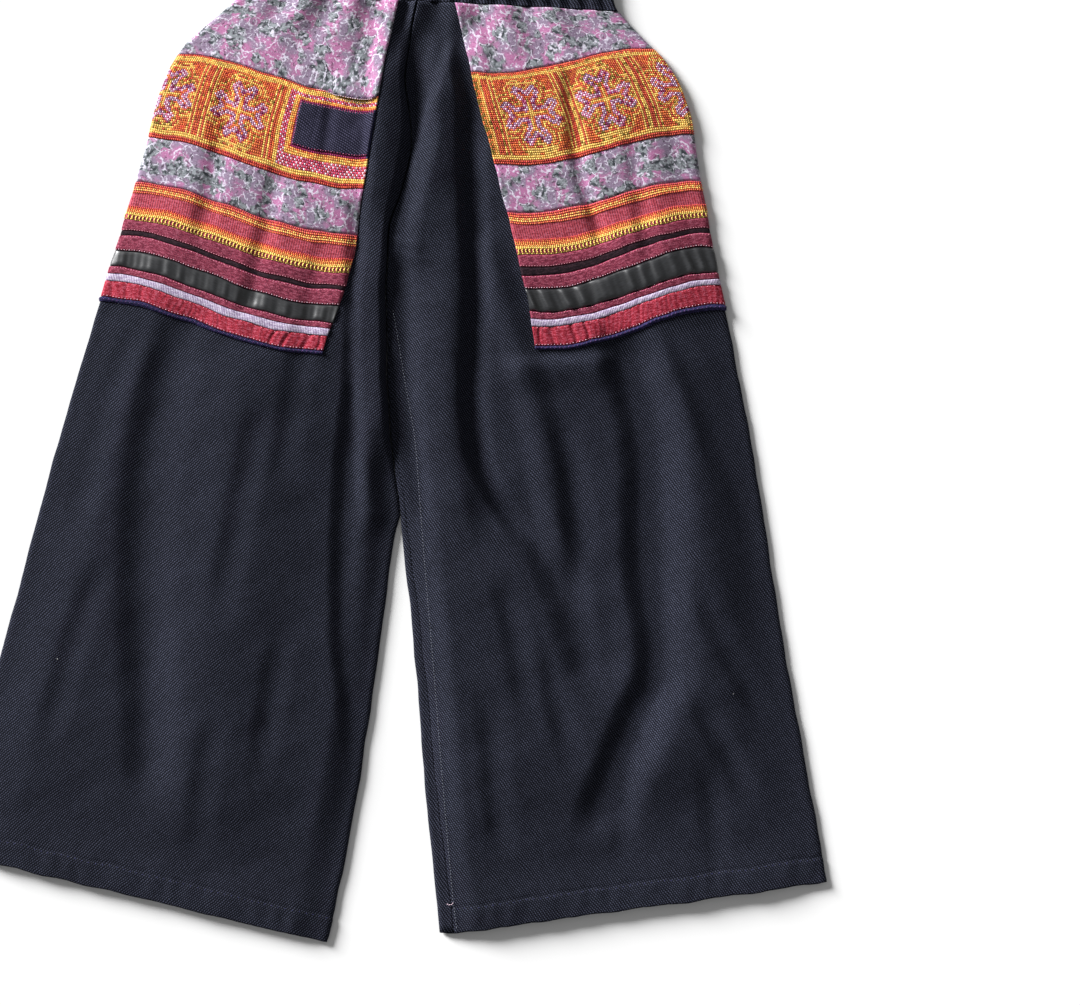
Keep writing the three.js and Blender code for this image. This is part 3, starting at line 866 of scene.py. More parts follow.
class Groups:
    """The effects that several finishes share, each built once as a node group."""

    def __init__(self) -> None:
        """Starts with no group built."""
        self.weave = self.build_weave()
        self.mottle = self.build_mottle()
        self.lint = self.build_lint()
        self.ribs = self.build_ribs()

    def start(self, name: str, inputs: dict[str, str], outputs: dict[str, str]) -> tuple:
        """Begins a group.

        Args:
            name: the group's name.
            inputs: socket types by name.
            outputs: socket types by name.

        Returns:
            The group, a board on it, and its input and output nodes.
        """
        group = bpy.data.node_groups.new(name, "ShaderNodeTree")
        for way, sockets in (("INPUT", inputs), ("OUTPUT", outputs)):
            for label, kind in sockets.items():
                group.interface.new_socket(label, in_out=way, socket_type="NodeSocket" + kind)
        source = group.nodes.new("NodeGroupInput")
        target = group.nodes.new("NodeGroupOutput")
        return group, Board(group), source.outputs, target.inputs

    def build_weave(self) -> bpy.types.NodeTree:
        """A twill's short diagonal floats, each with its own brightness."""
        group, board, given, wanted = self.start(
            "Twill weave",
            {"Place": "Vector", "Angle": "Float", "Pitch": "Float"},
            {"Fleck": "Float", "Height": "Float"},
        )
        turn = board.node("CombineXYZ", {2: given["Angle"]}).outputs[0]
        aligned = board.node("Mapping", {"Vector": given["Place"], "Rotation": turn}).outputs[0]
        x, y = board.parts(aligned)
        jitter = board.math("MULTIPLY", board.noise(given["Place"], 3.2, 1.0), 0.25)
        drift = board.math("MULTIPLY", board.noise(given["Place"], 14, 1.0), 1.2)
        rank = board.math("DIVIDE", y, given["Pitch"])
        rank = board.math("ADD", board.math("ADD", rank, jitter), drift)
        row = board.math("FLOOR", board.math("ADD", rank, 0.25))
        offset = board.math("MULTIPLY", row, 0.5)
        along = board.math("ADD", board.math("DIVIDE", x, given["Pitch"]), offset)
        both = board.node("CombineXYZ", {0: board.math("FLOOR", along), 1: row}).outputs[0]
        own = board.scaled(board.node("TexWhiteNoise", {"Vector": both}).outputs[0], 0.25, 0.75)
        lines = board.wave(rank, 0.0)
        ends = board.scaled(board.wave(along, -0.25), 0.75, 0.25)
        board.feed(wanted["Fleck"], board.math("MULTIPLY", board.math("MULTIPLY", lines, own), ends))
        board.feed(wanted["Height"], board.math("MULTIPLY", lines, ends))
        return group

    def build_mottle(self) -> bpy.types.NodeTree:
        """A colour that drifts lighter and darker, as dyed and worn cloth does."""
        group, board, given, wanted = self.start(
            "Dye drift",
            {"Place": "Vector", "Colour": "Color", "Amount": "Float"},
            {"Colour": "Color"},
        )
        slow = board.math("MULTIPLY", board.noise(given["Place"], 70, 3.0), 0.65)
        fine = board.math("MULTIPLY", board.noise(given["Place"], 9, 3.0), 0.35)
        both = board.math("SUBTRACT", board.math("ADD", slow, fine), 0.5)
        value = board.math("ADD", board.math("MULTIPLY", both, given["Amount"]), 1.0)
        board.feed(wanted["Colour"], board.shaded(given["Colour"], value))
        return group

    def build_lint(self) -> bpy.types.NodeTree:
        """A mask of stray pale specks and short fibres."""
        group, board, given, wanted = self.start(
            "Lint", {"Place": "Vector", "Spread": "Float"}, {"Mask": "Float"}
        )
        cells = board.node("TexVoronoi", {"Vector": given["Place"], "Scale": given["Spread"]})
        size = board.math("MULTIPLY", board.parts(cells.outputs["Color"])[0], 0.05)
        size = board.math("SUBTRACT", size, 0.03)
        board.feed(wanted["Mask"], board.math("LESS_THAN", cells.outputs["Distance"], size))
        return group

    def build_ribs(self) -> bpy.types.NodeTree:
        """Fine ribs across a tape: a height from 0 to 1."""
        group, board, given, wanted = self.start(
            "Ribs", {"Place": "Vector", "Pitch": "Float", "Slant": "Float"}, {"Height": "Float"}
        )
        x, y = board.parts(given["Place"])
        along = board.math("ADD", x, board.math("MULTIPLY", y, given["Slant"]))
        shake = board.math("MULTIPLY", board.noise(given["Place"], 2.2, 1.0), 1.1)
        along = board.math("ADD", along, shake)
        radians = board.math("DIVIDE", given["Pitch"], 2 * math.pi)
        wave = board.math("SINE", board.math("DIVIDE", along, radians))
        board.feed(wanted["Height"], board.scaled(wave, 0.5, 0.5))
        return group


GROUPS = Groups()


class Finish:
    """A material and the board that its nodes are set on."""

    def __init__(self, name: str, roughness: float, specular: float) -> None:
        """Starts a material.

        Args:
            name: the material's name.
            roughness: how rough its threads are.
            specular: how strongly they shine.
        """
        self.material = bpy.data.materials.new(name)
        self.material.use_nodes = True
        self.board = Board(self.material.node_tree)
        self.shader = self.material.node_tree.nodes["Principled BSDF"]
        self.shader.inputs["Roughness"].default_value = roughness
        self.shader.inputs["Specular IOR Level"].default_value = specular

    def place(self) -> Socket:
        """The place on the flat cloth in millimetres."""
        return self.board.vector("SCALE", self.board.node("UVMap", uv_map=CUT).outputs[0], 1 / MM)

    def group(self, tree: bpy.types.NodeTree, **inputs: object) -> bpy.types.bpy_prop_collection:
        """Places one of the shared groups.

        Args:
            tree: the group.
            **inputs: values or sockets for its inputs, by name.

        Returns:
            Its outputs.
        """
        made = self.board.node("Group", node_tree=tree)
        for key, value in inputs.items():
            self.board.feed(made.inputs[key], value)
        return made.outputs

    def mottled(self, place: Socket, colour: Socket, amount: float) -> Socket:
        """A colour that drifts as dyed cloth does."""
        return self.group(GROUPS.mottle, Place=place, Colour=colour, Amount=amount)["Colour"]

    def done(
        self, colour: Socket, height: Socket, distance: float, strength: float = 0.8
    ) -> bpy.types.Material:
        """Feeds the shader and gives the material back.

        Args:
            colour: its base colour.
            height: the height that its bump follows.
            distance: how high that is, in metres.
            strength: how strongly the bump shows.

        Returns:
            The material.
        """
        self.board.feed(self.shader.inputs["Base Color"], colour)
        self.board.feed(self.shader.inputs["Normal"], self.board.bump(height, distance, strength))
        return self.material


@dataclass(frozen=True)
class Twill:
    """Dark cotton twill with short bright floats and a little lint."""

    name: str = "dark twill"
    dark: Colour = (0.0012, 0.0014, 0.0030)
    light: Colour = (0.076, 0.083, 0.127)
    lint: Colour = (0.50, 0.49, 0.50)
    angle: float = 45.0
    pitch: float = 2.3

    def make(self) -> bpy.types.Material:
        """Builds the material."""
        finish = Finish(self.name, 0.88, 0.08)
        board = finish.board
        place = finish.place()
        turn = math.radians(self.angle)
        weave = finish.group(GROUPS.weave, Place=place, Angle=turn, Pitch=self.pitch)
        colour = board.blend(board.math("POWER", weave["Fleck"], 1.4), self.dark, self.light)
        colour = finish.mottled(place, colour, 0.55)
        lint = finish.group(GROUPS.lint, Place=place, Spread=1 / 38)["Mask"]
        colour = board.blend(board.math("MULTIPLY", lint, 0.8), colour, self.lint)
        return finish.done(colour, weave["Height"], 0.00022)


@dataclass(frozen=True)
class Batik:
    """Wax-printed cotton: pink and mauve with grey blotches and pale crackle."""

    name: str = "batik cotton"
    pink: Colour = (0.68, 0.44, 0.60)
    mauve: Colour = (0.54, 0.47, 0.56)
    charcoal: Colour = (0.20, 0.22, 0.24)
    ash: Colour = (0.54, 0.56, 0.58)
    crackle: Colour = (0.86, 0.84, 0.90)
    plum: Colour = (0.24, 0.17, 0.24)

    def make(self) -> bpy.types.Material:
        """Builds the material."""
        finish = Finish(self.name, 0.8, 0.2)
        board = finish.board
        place = finish.place()
        warp = board.node("TexNoise", {"Vector": place, "Scale": 1 / 7, "Detail": 2.0}).outputs[1]
        warp = board.vector("SCALE", board.vector("SUBTRACT", warp, (0.5, 0.5, 0.5)), 9.0)
        bent = board.vector("ADD", place, warp)
        drift = board.step(board.noise(place, 21, 3.0), 0.42, 0.56)
        ground = board.blend(drift, linear(self.pink), linear(self.mauve))
        shade = board.step(board.noise(place, 5.5, 3.0), 0.38, 0.60)
        grey = board.blend(shade, linear(self.charcoal), linear(self.ash))
        colour = board.blend(board.step(board.noise(bent, 18), 0.49, 0.57), ground, grey)
        cells = board.node("TexVoronoi", {"Vector": bent, "Scale": 1 / 11}, feature="DISTANCE_TO_EDGE")
        veins = board.math("SUBTRACT", 1.0, board.step(cells.outputs["Distance"], 0.015, 0.075))
        veins = board.math("MULTIPLY", veins, board.step(board.noise(place, 5), 0.42, 0.56))
        flecks = board.math("MULTIPLY", board.step(board.noise(place, 2.5), 0.58, 0.68), 0.6)
        white = board.math("MAXIMUM", board.math("MULTIPLY", veins, 0.85), flecks)
        colour = board.blend(white, colour, linear(self.crackle))
        dark = board.math("MULTIPLY", board.step(board.noise(bent, 3.2), 0.58, 0.70), 0.8)
        colour = board.blend(dark, colour, linear(self.plum))
        colour = board.shaded(colour, board.scaled(board.noise(place, 1.2), 0.9, 0.52))
        return finish.done(colour, board.math("ADD", board.noise(place, 0.7, 1.0), white), 0.00016)


@dataclass(frozen=True)
class Tape:
    """A woven band with fine ribs across it. The colour and its dark are in sRGB."""

    name: str
    colour: Colour
    dark: Colour
    pitch: float = 1.3
    slant: float = 0.0
    pale: Colour = (0.46, 0.15, 0.22)
    roughness: float = 0.85
    specular: float = 0.1

    def make(self) -> bpy.types.Material:
        """Builds the material."""
        finish = Finish(self.name, self.roughness, self.specular)
        board = finish.board
        place = finish.place()
        low, full = linear(self.dark), linear(self.colour)
        ribs = finish.group(GROUPS.ribs, Place=place, Pitch=self.pitch, Slant=self.slant)["Height"]
        grain = board.noise(place, 1.1)
        shade = board.math("ADD", board.math("MULTIPLY", ribs, 0.5), board.math("MULTIPLY", grain, 0.9))
        colour = board.blend(board.step(shade, 0.35, 1.1), low, full)
        streaks = board.noise(board.stretch(place, 0, (1 / 5, 1 / 1.5, 1.0)), 1.0, 3.0)
        colour = board.blend(board.math("MULTIPLY", board.step(streaks, 0.52, 0.38), 0.55), colour, low)
        worn = board.step(board.math("MULTIPLY", streaks, grain), 0.22, 0.36)
        colour = board.blend(board.math("MULTIPLY", worn, 0.5), colour, self.pale)
        return finish.done(finish.mottled(place, colour, 0.9), shade, 0.0002)


@dataclass(frozen=True)
class Sateen:
    """Smooth black-grey satin-weave cotton that shines on its creases."""

    name: str = "black sateen"
    dark: Colour = (0.004, 0.0043, 0.0055)
    light: Colour = (0.018, 0.0195, 0.023)

    def make(self) -> bpy.types.Material:
        """Builds the material."""
        finish = Finish(self.name, 0.4, 0.9)
        board = finish.board
        place = finish.place()
        threads = board.noise(board.stretch(place, 8, (1 / 6.0, 1 / 0.5, 1.0)), 1.0)
        colour = board.blend(board.step(threads, 0.35, 0.68), self.dark, self.light)
        return finish.done(finish.mottled(place, colour, 0.8), threads, 0.00008, 0.6)


@dataclass(frozen=True)
class Threadwork:
    """Embroidery cotton, dyed thread by thread. With a lightness below 1 it paints shade onto the ground
    cloth between the stitches.
    """

    name: str = "embroidery thread"
    roughness: float = 0.55
    # How light the dye is kept; below 1 it is darkened as painted shade.
    painted_lightness: float = 1.0

    def make(self) -> bpy.types.Material:
        """Builds the material."""
        finish = Finish(self.name, self.roughness, 0.3)
        board = finish.board
        place = board.vector("SCALE", board.node("TexCoord").outputs["Object"], 1 / MM)
        dye = board.node("Attribute", attribute_name=DYE).outputs["Color"]
        strands = board.noise(place, 0.35)
        # A lightness below 1 darkens the dye as painted shade between the stitches.
        shade = board.math("ADD", board.math("MULTIPLY", strands, 0.9), 0.68 * self.painted_lightness)
        return finish.done(board.shaded(dye, shade), strands, 0.0001, 0.5)


@dataclass(frozen=True)
class Ground:
    """The pale ground that the garment lies on."""

    name: str = "pale ground"
    colour: Colour = (0.90, 0.90, 0.90)

    def make(self) -> bpy.types.Material:
        """Builds the material."""
        finish = Finish(self.name, 0.95, 0.0)
        grain = finish.board.noise(finish.board.node("TexCoord").outputs["Object"], 1 / 3)
        low = tuple(part * 0.985 for part in self.colour)
        colour = finish.board.blend(grain, low, self.colour)
        finish.board.feed(finish.shader.inputs["Base Color"], colour)
        return finish.material


def add_object(name: str, mesh: bpy.types.Mesh) -> bpy.types.Object:
    """Puts a mesh into the scene as an object at the origin.

    Args:
        name: the object's name.
        mesh: its mesh.

    Returns:
        The object.
    """
    piece = bpy.data.objects.new(name, mesh)
    bpy.context.scene.collection.objects.link(piece)
    return piece


def cloth_piece(name: str, cloth: Cloth, wall: float) -> bpy.types.Object:
    """Makes a piece of cloth from its grid.

    Args:
        name: the piece's name.
        cloth: the places of its outer face.
        wall: how thick it is, in millimetres.

    Returns:
        The piece, its wall built inwards from the face.
    """
    rows, columns = cloth.points.shape[:2]
    shape = bmesh.new()
    bmesh.ops.create_grid(shape, x_segments=columns - 1, y_segments=rows - 1, size=1.0)
    mesh = bpy.data.meshes.new(name)
    shape.to_mesh(mesh)
    shape.free()
    mesh.vertices.foreach_set("co", cloth.points.astype(np.float32).reshape(-1))
    mesh.update()
    middle = (rows // 2) * (columns - 1) + columns // 2
    if Vector(cloth.away[rows // 2, columns // 2]).dot(mesh.polygons[middle].normal) < 0:
        mesh.flip_normals()
    corners = np.empty(len(mesh.loops), dtype=np.int32)
    mesh.loops.foreach_get("vertex_index", corners)
    layer = mesh.uv_layers.new(name=CUT)
    flat = cloth.cut.reshape(-1, 2)[corners].astype(np.float32)
    layer.data.foreach_set("uv", flat.reshape(-1))
    mesh.shade_smooth()
    piece = add_object(name, mesh)
    solid = piece.modifiers.new("wall", "SOLIDIFY")
    solid.thickness = wall * MM
    solid.offset = -1.0
    return piece


@dataclass
class Threads:
    """Many short threads, gathered row by row and made as one joined mesh."""

    centres: list[Array] = field(default_factory=list)
    frames: list[Array] = field(default_factory=list)
    dyes: list[Array] = field(default_factory=list)

    def add(self, centre: Array, along: Array, up: Array, size: Colour, dye: Array) -> None:
        """Adds a run of threads.

        Args:
            centre: their middles, in metres.
            along: unit directions along them.
            up: unit directions off the cloth.
            size: half their length, width and height in millimetres.
            dye: their linear colours.
        """
        across = unit(np.cross(up, along))
        lift = np.cross(along, across)
        long, wide, high = (part * MM for part in size)
        self.centres.append(centre)
        self.frames.append(np.stack([across * wide, lift * high, along * long], axis=1))
        self.dyes.append(np.broadcast_to(dye, centre.shape))

    def piece(self, name: str) -> bpy.types.Object:
        """Joins the threads into one mesh.

        Args:
            name: the piece's name.

        Returns:
            The piece.
        """
        shape = bmesh.new()
        bmesh.ops.create_uvsphere(shape, u_segments=THREAD_SIDES, v_segments=THREAD_RINGS, radius=1.0)
        bmesh.ops.triangulate(shape, faces=shape.faces)
        shape.verts.ensure_lookup_table()
        corner = np.array([vertex.co for vertex in shape.verts])
        faces = np.array([[vertex.index for vertex in face.verts] for face in shape.faces])
        shape.free()
        centre = np.concatenate(self.centres)
        frame = np.concatenate(self.frames)
        dye = np.concatenate(self.dyes)
        count = len(centre)
        points = centre[:, None, :] + np.einsum("vk,nkj->nvj", corner, frame)
        points[..., 2] = np.maximum(points[..., 2], 0.0)
        index = faces[None, :, :] + (np.arange(count) * len(corner))[:, None, None]
        mesh = bpy.data.meshes.new(name)
        mesh.from_pydata(points.reshape(-1, 3).tolist(), [], index.reshape(-1, 3).tolist())
        colours = mesh.color_attributes.new(DYE, "FLOAT_COLOR", "POINT")
        full = np.ones((count, len(corner), 4), dtype=np.float32)
        full[..., :3] = dye[:, None, :]
        colours.data.foreach_set("color", full.reshape(-1))
        mesh.shade_smooth()
        return add_object(name, mesh)


def dye_of(names: Sequence[Dye], count: int, random: np.random.Generator) -> Array:
    """Linear colours of a run of threads, taken from a few dyes in turn and a little uneven.

    Args:
        names: the dyes.
        count: how many threads.
        random: the source of chance.

    Returns:
        One colour for each thread.
    """
    table = np.array([linear(dye.value) for dye in names])
    picked = table[np.arange(count) % len(names)]
    return picked * (1 + DYE_SPREAD * random.standard_normal((count, 1))).clip(0.5, 1.5)


def declare(
    piece: bpy.types.Object,
    material: bpy.types.Material,
    slot: str,
    nodes: Iterable[str] = (),
) -> bpy.types.Object:
    """Dresses a piece and ties it to the frame.

    Args:
        piece: the piece.
        material: its finish.
        slot: not used.
        nodes: the CAD nodes that it stands for.

    Returns:
        The piece.
    """
    piece.data.materials.append(material)
    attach(piece, "root")
    if nodes:
        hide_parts(*nodes)
    triangles = sum(len(face.vertices) - 2 for face in piece.data.polygons)
    LOG.info("%s: %d triangles before its wall", piece.name, triangles)
    return piece


def lay(
    piece: bpy.types.Object,
    cloth: Cloth,
    rests_on: Sequence[str],
    fullness: float = 1.0,
    with_pieces: Sequence[bpy.types.Object] = (),
) -> None:
    """Logs the size that a piece's visible part is cut to.

    Args:
        piece: the piece.
        cloth: its grid.
        rests_on: not used.
        fullness: how many times the laid width the flat cloth is, where it is gathered.
        with_pieces: not used.
    """
    width, length, area = cloth.size()
    flat = (max(width * fullness, 0.01), max(length, 0.01))
    area = min(area * fullness, flat[0] * flat[1])
    LOG.info("%s is cut %.3f by %.3f m, %.4f square metres", piece.name, *flat, area)


@dataclass
class Leg:
    """One leg: its front and back panels, hemmed and seamed."""

    form: LegForm
    twill: bpy.types.Material
    thread: bpy.types.Material
    row_step: float = 4.5
    back_step: float = 9.0
    hem_depth: float = 25.0
    hem_rise: float = 0.5
    hem_pinch: float = 0.6
    hem_share: float = 0.75
    hem_rows: int = 22
    inseam_top: float = 335.0
    inseam_rise: float = 0.6
    hem_stitch: float = 3.4
    inseam_stitch: float = 3.1
    tail_drop: float = 931.0

    def hemmed(self, cloth: Cloth) -> Array:
        """How far the turned-up hem and the seams lift or sink the face.

        Args:
            cloth: the panel.

        Returns:
            Heights in millimetres.
        """
        above = (cloth.points[..., 1] - cloth.points[-1:, :, 1]) / MM
        turn = 1 - smooth((above - self.hem_depth + 1.2) / 2.4)
        pinch = dent(above, self.hem_depth, 1.6)
        along = cloth.cut[..., 0] / MM
        gather = 0.3 * np.sin(along / 4.1 + 2 * np.sin(along / 17)) * dent(above, 16, 12)
        inseam = 0.0
        if self.form.seam_hem:
            away, drop = self.beside_inseam(cloth)
            dents = np.sin(above / 2.3 + 1.7 * np.sin(above / 9.1)) * dent(away, 0, 4)
            strip = smooth((along - along[:, :1]) / 4) * (1 - smooth((away + 0.8) / 3.2))
            begun = smooth((drop - self.inseam_top) / 40)
            inseam = begun * (self.inseam_rise * strip + 0.15 * dents)
        return self.hem_rise * turn - self.hem_pinch * pinch + gather + inseam

    def beside_inseam(self, cloth: Cloth) -> tuple[Array, Array]:
        """How far each place lies outward of the inseam's stitching, and its drop."""
        drop = LENGTH / 2 - cloth.points[..., 1] / MM
        return cloth.points[..., 0] / MM - INSEAM_LINE.at(drop), drop

    def sewn(self, cloth: Cloth) -> bpy.types.Object:
        """Sews the hem and, where it shows, the inseam.

        Args:
            cloth: the front panel.

        Returns:
            The piece of thread.
        """
        random = np.random.default_rng(31)
        threads = Threads()
        rows, columns = (np.arange(count) for count in cloth.points.shape[:2])

        def sew(row: Array, column: Array, size: Colour, dyes: Sequence[Dye]) -> None:
            """Adds one line of stitches.

            Args:
                row: the row of the grid that each stitch lies at.
                column: its column.
                size: half its length, width and height in millimetres.
                dyes: the dyes, taken in turn.
            """
            centre, up = cloth.at(row, column)
            along = unit(np.gradient(centre, axis=0))
            threads.add(centre + up * 0.1 * MM, along, up, size, dye_of(dyes, len(row), random))

        above = (cloth.points[..., 1] - cloth.points[-1:, :, 1]) / MM
        level = np.array([np.interp(1.6 - self.hem_depth, -above[:, c], rows) for c in columns])
        u = cloth.cut[-1, :, 0] / MM
        column = np.interp(np.arange(u[0] + 3, u[-1] - 4, self.hem_stitch), u, columns)
        sew(np.interp(column, columns, level), column, (1.1, 0.32, 0.26), (Dye.BLACK, Dye.NAVY))
        if self.form.seam_hem:
            away, drop = self.beside_inseam(cloth)
            at_line = np.array([np.interp(0.0, away[r], columns) for r in rows])
            deep = np.array([np.interp(at_line[r], columns, drop[r]) for r in rows])
            places = np.arange(self.inseam_top + 10, self.form.hem[0] - 5, self.inseam_stitch)
            row = np.interp(places, deep, rows)
            sew(row, np.interp(row, rows, at_line), (1.15, 0.32, 0.3), (Dye.GREY,))
            self.tail(threads, cloth, deep, at_line)
        return declare(threads.piece(f"front_{self.form.name}_stitches"), self.thread, "twill")

    def tail(self, threads: Threads, cloth: Cloth, deep: Array, at_line: Array) -> None:
        """Leaves the pale end of the thread loose near the foot of the inseam.

        Args:
            threads: what the thread is added to.
            cloth: the front panel.
            deep: the drop of the inseam's stitching in each row.
            at_line: its column in each row.
        """
        rows = np.arange(len(deep))
        row = np.interp([self.tail_drop], deep, rows)
        foot, up = cloth.at(row, np.interp(row, rows, at_line))
        turns = np.radians([62.0, 28.0, -4.0, -22.0])
        step = np.stack([-np.cos(turns), -np.sin(turns), 0 * turns], axis=1)
        centre = foot + (np.cumsum(step, axis=0) - step / 2) * 1.9 * MM + up * 0.5 * MM
        dye = np.broadcast_to(linear(Dye.PALE.value), centre.shape)
        threads.add(centre, step, np.broadcast_to(up, centre.shape), (1.2, 0.36, 0.36), dye)

    def panel(self, stretch: Stretch, step: float) -> tuple[bpy.types.Object, Cloth]:
        """Makes one panel.

        Args:
            stretch: front or back.
            step: how far apart its rows are.

        Returns:
            The piece and its grid.
        """
        rows = self.form.fine_rows(step)
        if stretch is Stretch.FRONT:
            hem = np.linspace(rows[-1] - self.hem_share, rows[-1], self.hem_rows)
            rows = np.concatenate([rows[rows < hem[0]], hem])
        cloth = self.form.cloth(rows, stretch)
        if stretch is Stretch.FRONT:
            cloth = cloth.lifted(self.hemmed(cloth))
        node = f"{stretch.value}_{self.form.name}"
        piece = cloth_piece(f"{node}_cloth", cloth, WALL)
        return declare(piece, self.twill, "twill", (node,)), cloth

    def build(self) -> None:
        """Builds both panels and lays the front on the back."""
        front, front_cloth = self.panel(Stretch.FRONT, self.row_step)
        back, back_cloth = self.panel(Stretch.BACK, self.back_step)
        lay(front, front_cloth, [back.name], with_pieces=[self.sewn(front_cloth)])
        lay(back, back_cloth, [GROUND])


@dataclass(frozen=True)
class StitchRow:
    """A row of stitches along a band.

    It lies a part of the band's width below the upper edge, and then down by some millimetres.
    slant turns its stitches out of the row, in degrees, and size is half their length, width
    and height.
    """

    part: float
    down: float
    pitch: float
    slant: float
    size: Colour
    dyes: tuple[Dye, ...]


BRAID_LOOP = (1.5, 0.85, 0.7)
BRAID_CHAIN = (1.9, 0.75, 0.75)
EDGE_STITCH = (0.8, 0.33, 0.28)
STITCH_ROWS = {
    "braid": (
        StitchRow(0, 1.2, 2.0, 35, BRAID_LOOP, (Dye.RED, Dye.VERMILION)),
        StitchRow(0, 3.0, 2.0, -40, BRAID_LOOP, (Dye.VERMILION, Dye.ORANGE)),
        StitchRow(0, 4.9, 2.0, 40, BRAID_LOOP, (Dye.AMBER, Dye.YELLOW, Dye.ORANGE)),
        StitchRow(0, 6.8, 2.0, -40, BRAID_LOOP, (Dye.YELLOW, Dye.AMBER)),
        StitchRow(0, 8.7, 2.0, 40, BRAID_LOOP, (Dye.ORANGE, Dye.VERMILION)),
        StitchRow(1, -17.4, 2.0, 40, BRAID_LOOP, (Dye.VERMILION, Dye.RED)),
        StitchRow(1, -15.5, 2.0, -40, BRAID_LOOP, (Dye.ORANGE, Dye.VERMILION)),
        StitchRow(1, -13.6, 2.0, 40, BRAID_LOOP, (Dye.AMBER, Dye.ORANGE)),
        StitchRow(1, -11.7, 2.0, -40, BRAID_LOOP, (Dye.ORANGE, Dye.AMBER)),
        StitchRow(1, -9.6, 2.0, 40, BRAID_LOOP, (Dye.YELLOW, Dye.AMBER)),
        StitchRow(1, -7.7, 2.0, -40, BRAID_LOOP, (Dye.YELLOW, Dye.STRAW)),
        StitchRow(1, -5.2, 3.8, 60, BRAID_CHAIN, (Dye.YELLOW, Dye.STRAW)),
        StitchRow(1, -4.0, 3.8, 0, (1.2, 1.2, 0.35), (Dye.MOSS,)),
        StitchRow(1, -3.0, 3.8, -60, BRAID_CHAIN, (Dye.STRAW, Dye.YELLOW)),
        StitchRow(1, -1.0, 2.4, 8, (1.4, 0.6, 0.5), (Dye.STRAW, Dye.OLIVE)),
    ),
    "tape_high": (StitchRow(1, -1.0, 2.7, 0, (0.75, 0.33, 0.28), (Dye.BLUSH,)),),
    "tape_low": (
        StitchRow(0, 1.0, 2.9, 0, EDGE_STITCH, (Dye.BLUSH, Dye.PINK)),
        StitchRow(1, -0.9, 2.6, 0, (0.8, 0.36, 0.3), (Dye.PALE, Dye.BLUSH)),
    ),
    "tape_thin": (StitchRow(0, 0.9, 2.8, 0, EDGE_STITCH, (Dye.BLUSH, Dye.PINK)),),
    "crimson": (
        StitchRow(1, -1.2, 3.1, 0, (0.7, 0.36, 0.3), (Dye.PALE, Dye.BLUSH)),
        StitchRow(0, 0.8, 3.4, 8, EDGE_STITCH, (Dye.RED, Dye.BLUSH)),
    ),
    "piping": (StitchRow(0.42, 0, 1.5, 52, (2.0, 0.46, 0.5), (Dye.NAVY, Dye.PURPLE, Dye.NAVY)),),
    "batik_top": (StitchRow(1, -1.3, 2.6, 0, (0.8, 0.3, 0.25), (Dye.PURPLE, Dye.LILAC)),),
    "batik_low": (StitchRow(0, 1.3, 3.0, 0, (0.8, 0.28, 0.25), (Dye.LILAC, Dye.PURPLE)),),
}
FINE_ROWS = {Relief.TWISTED: 9, Relief.ROUND: 7, Relief.TAPE: 8, Relief.PUCKERED: 12}


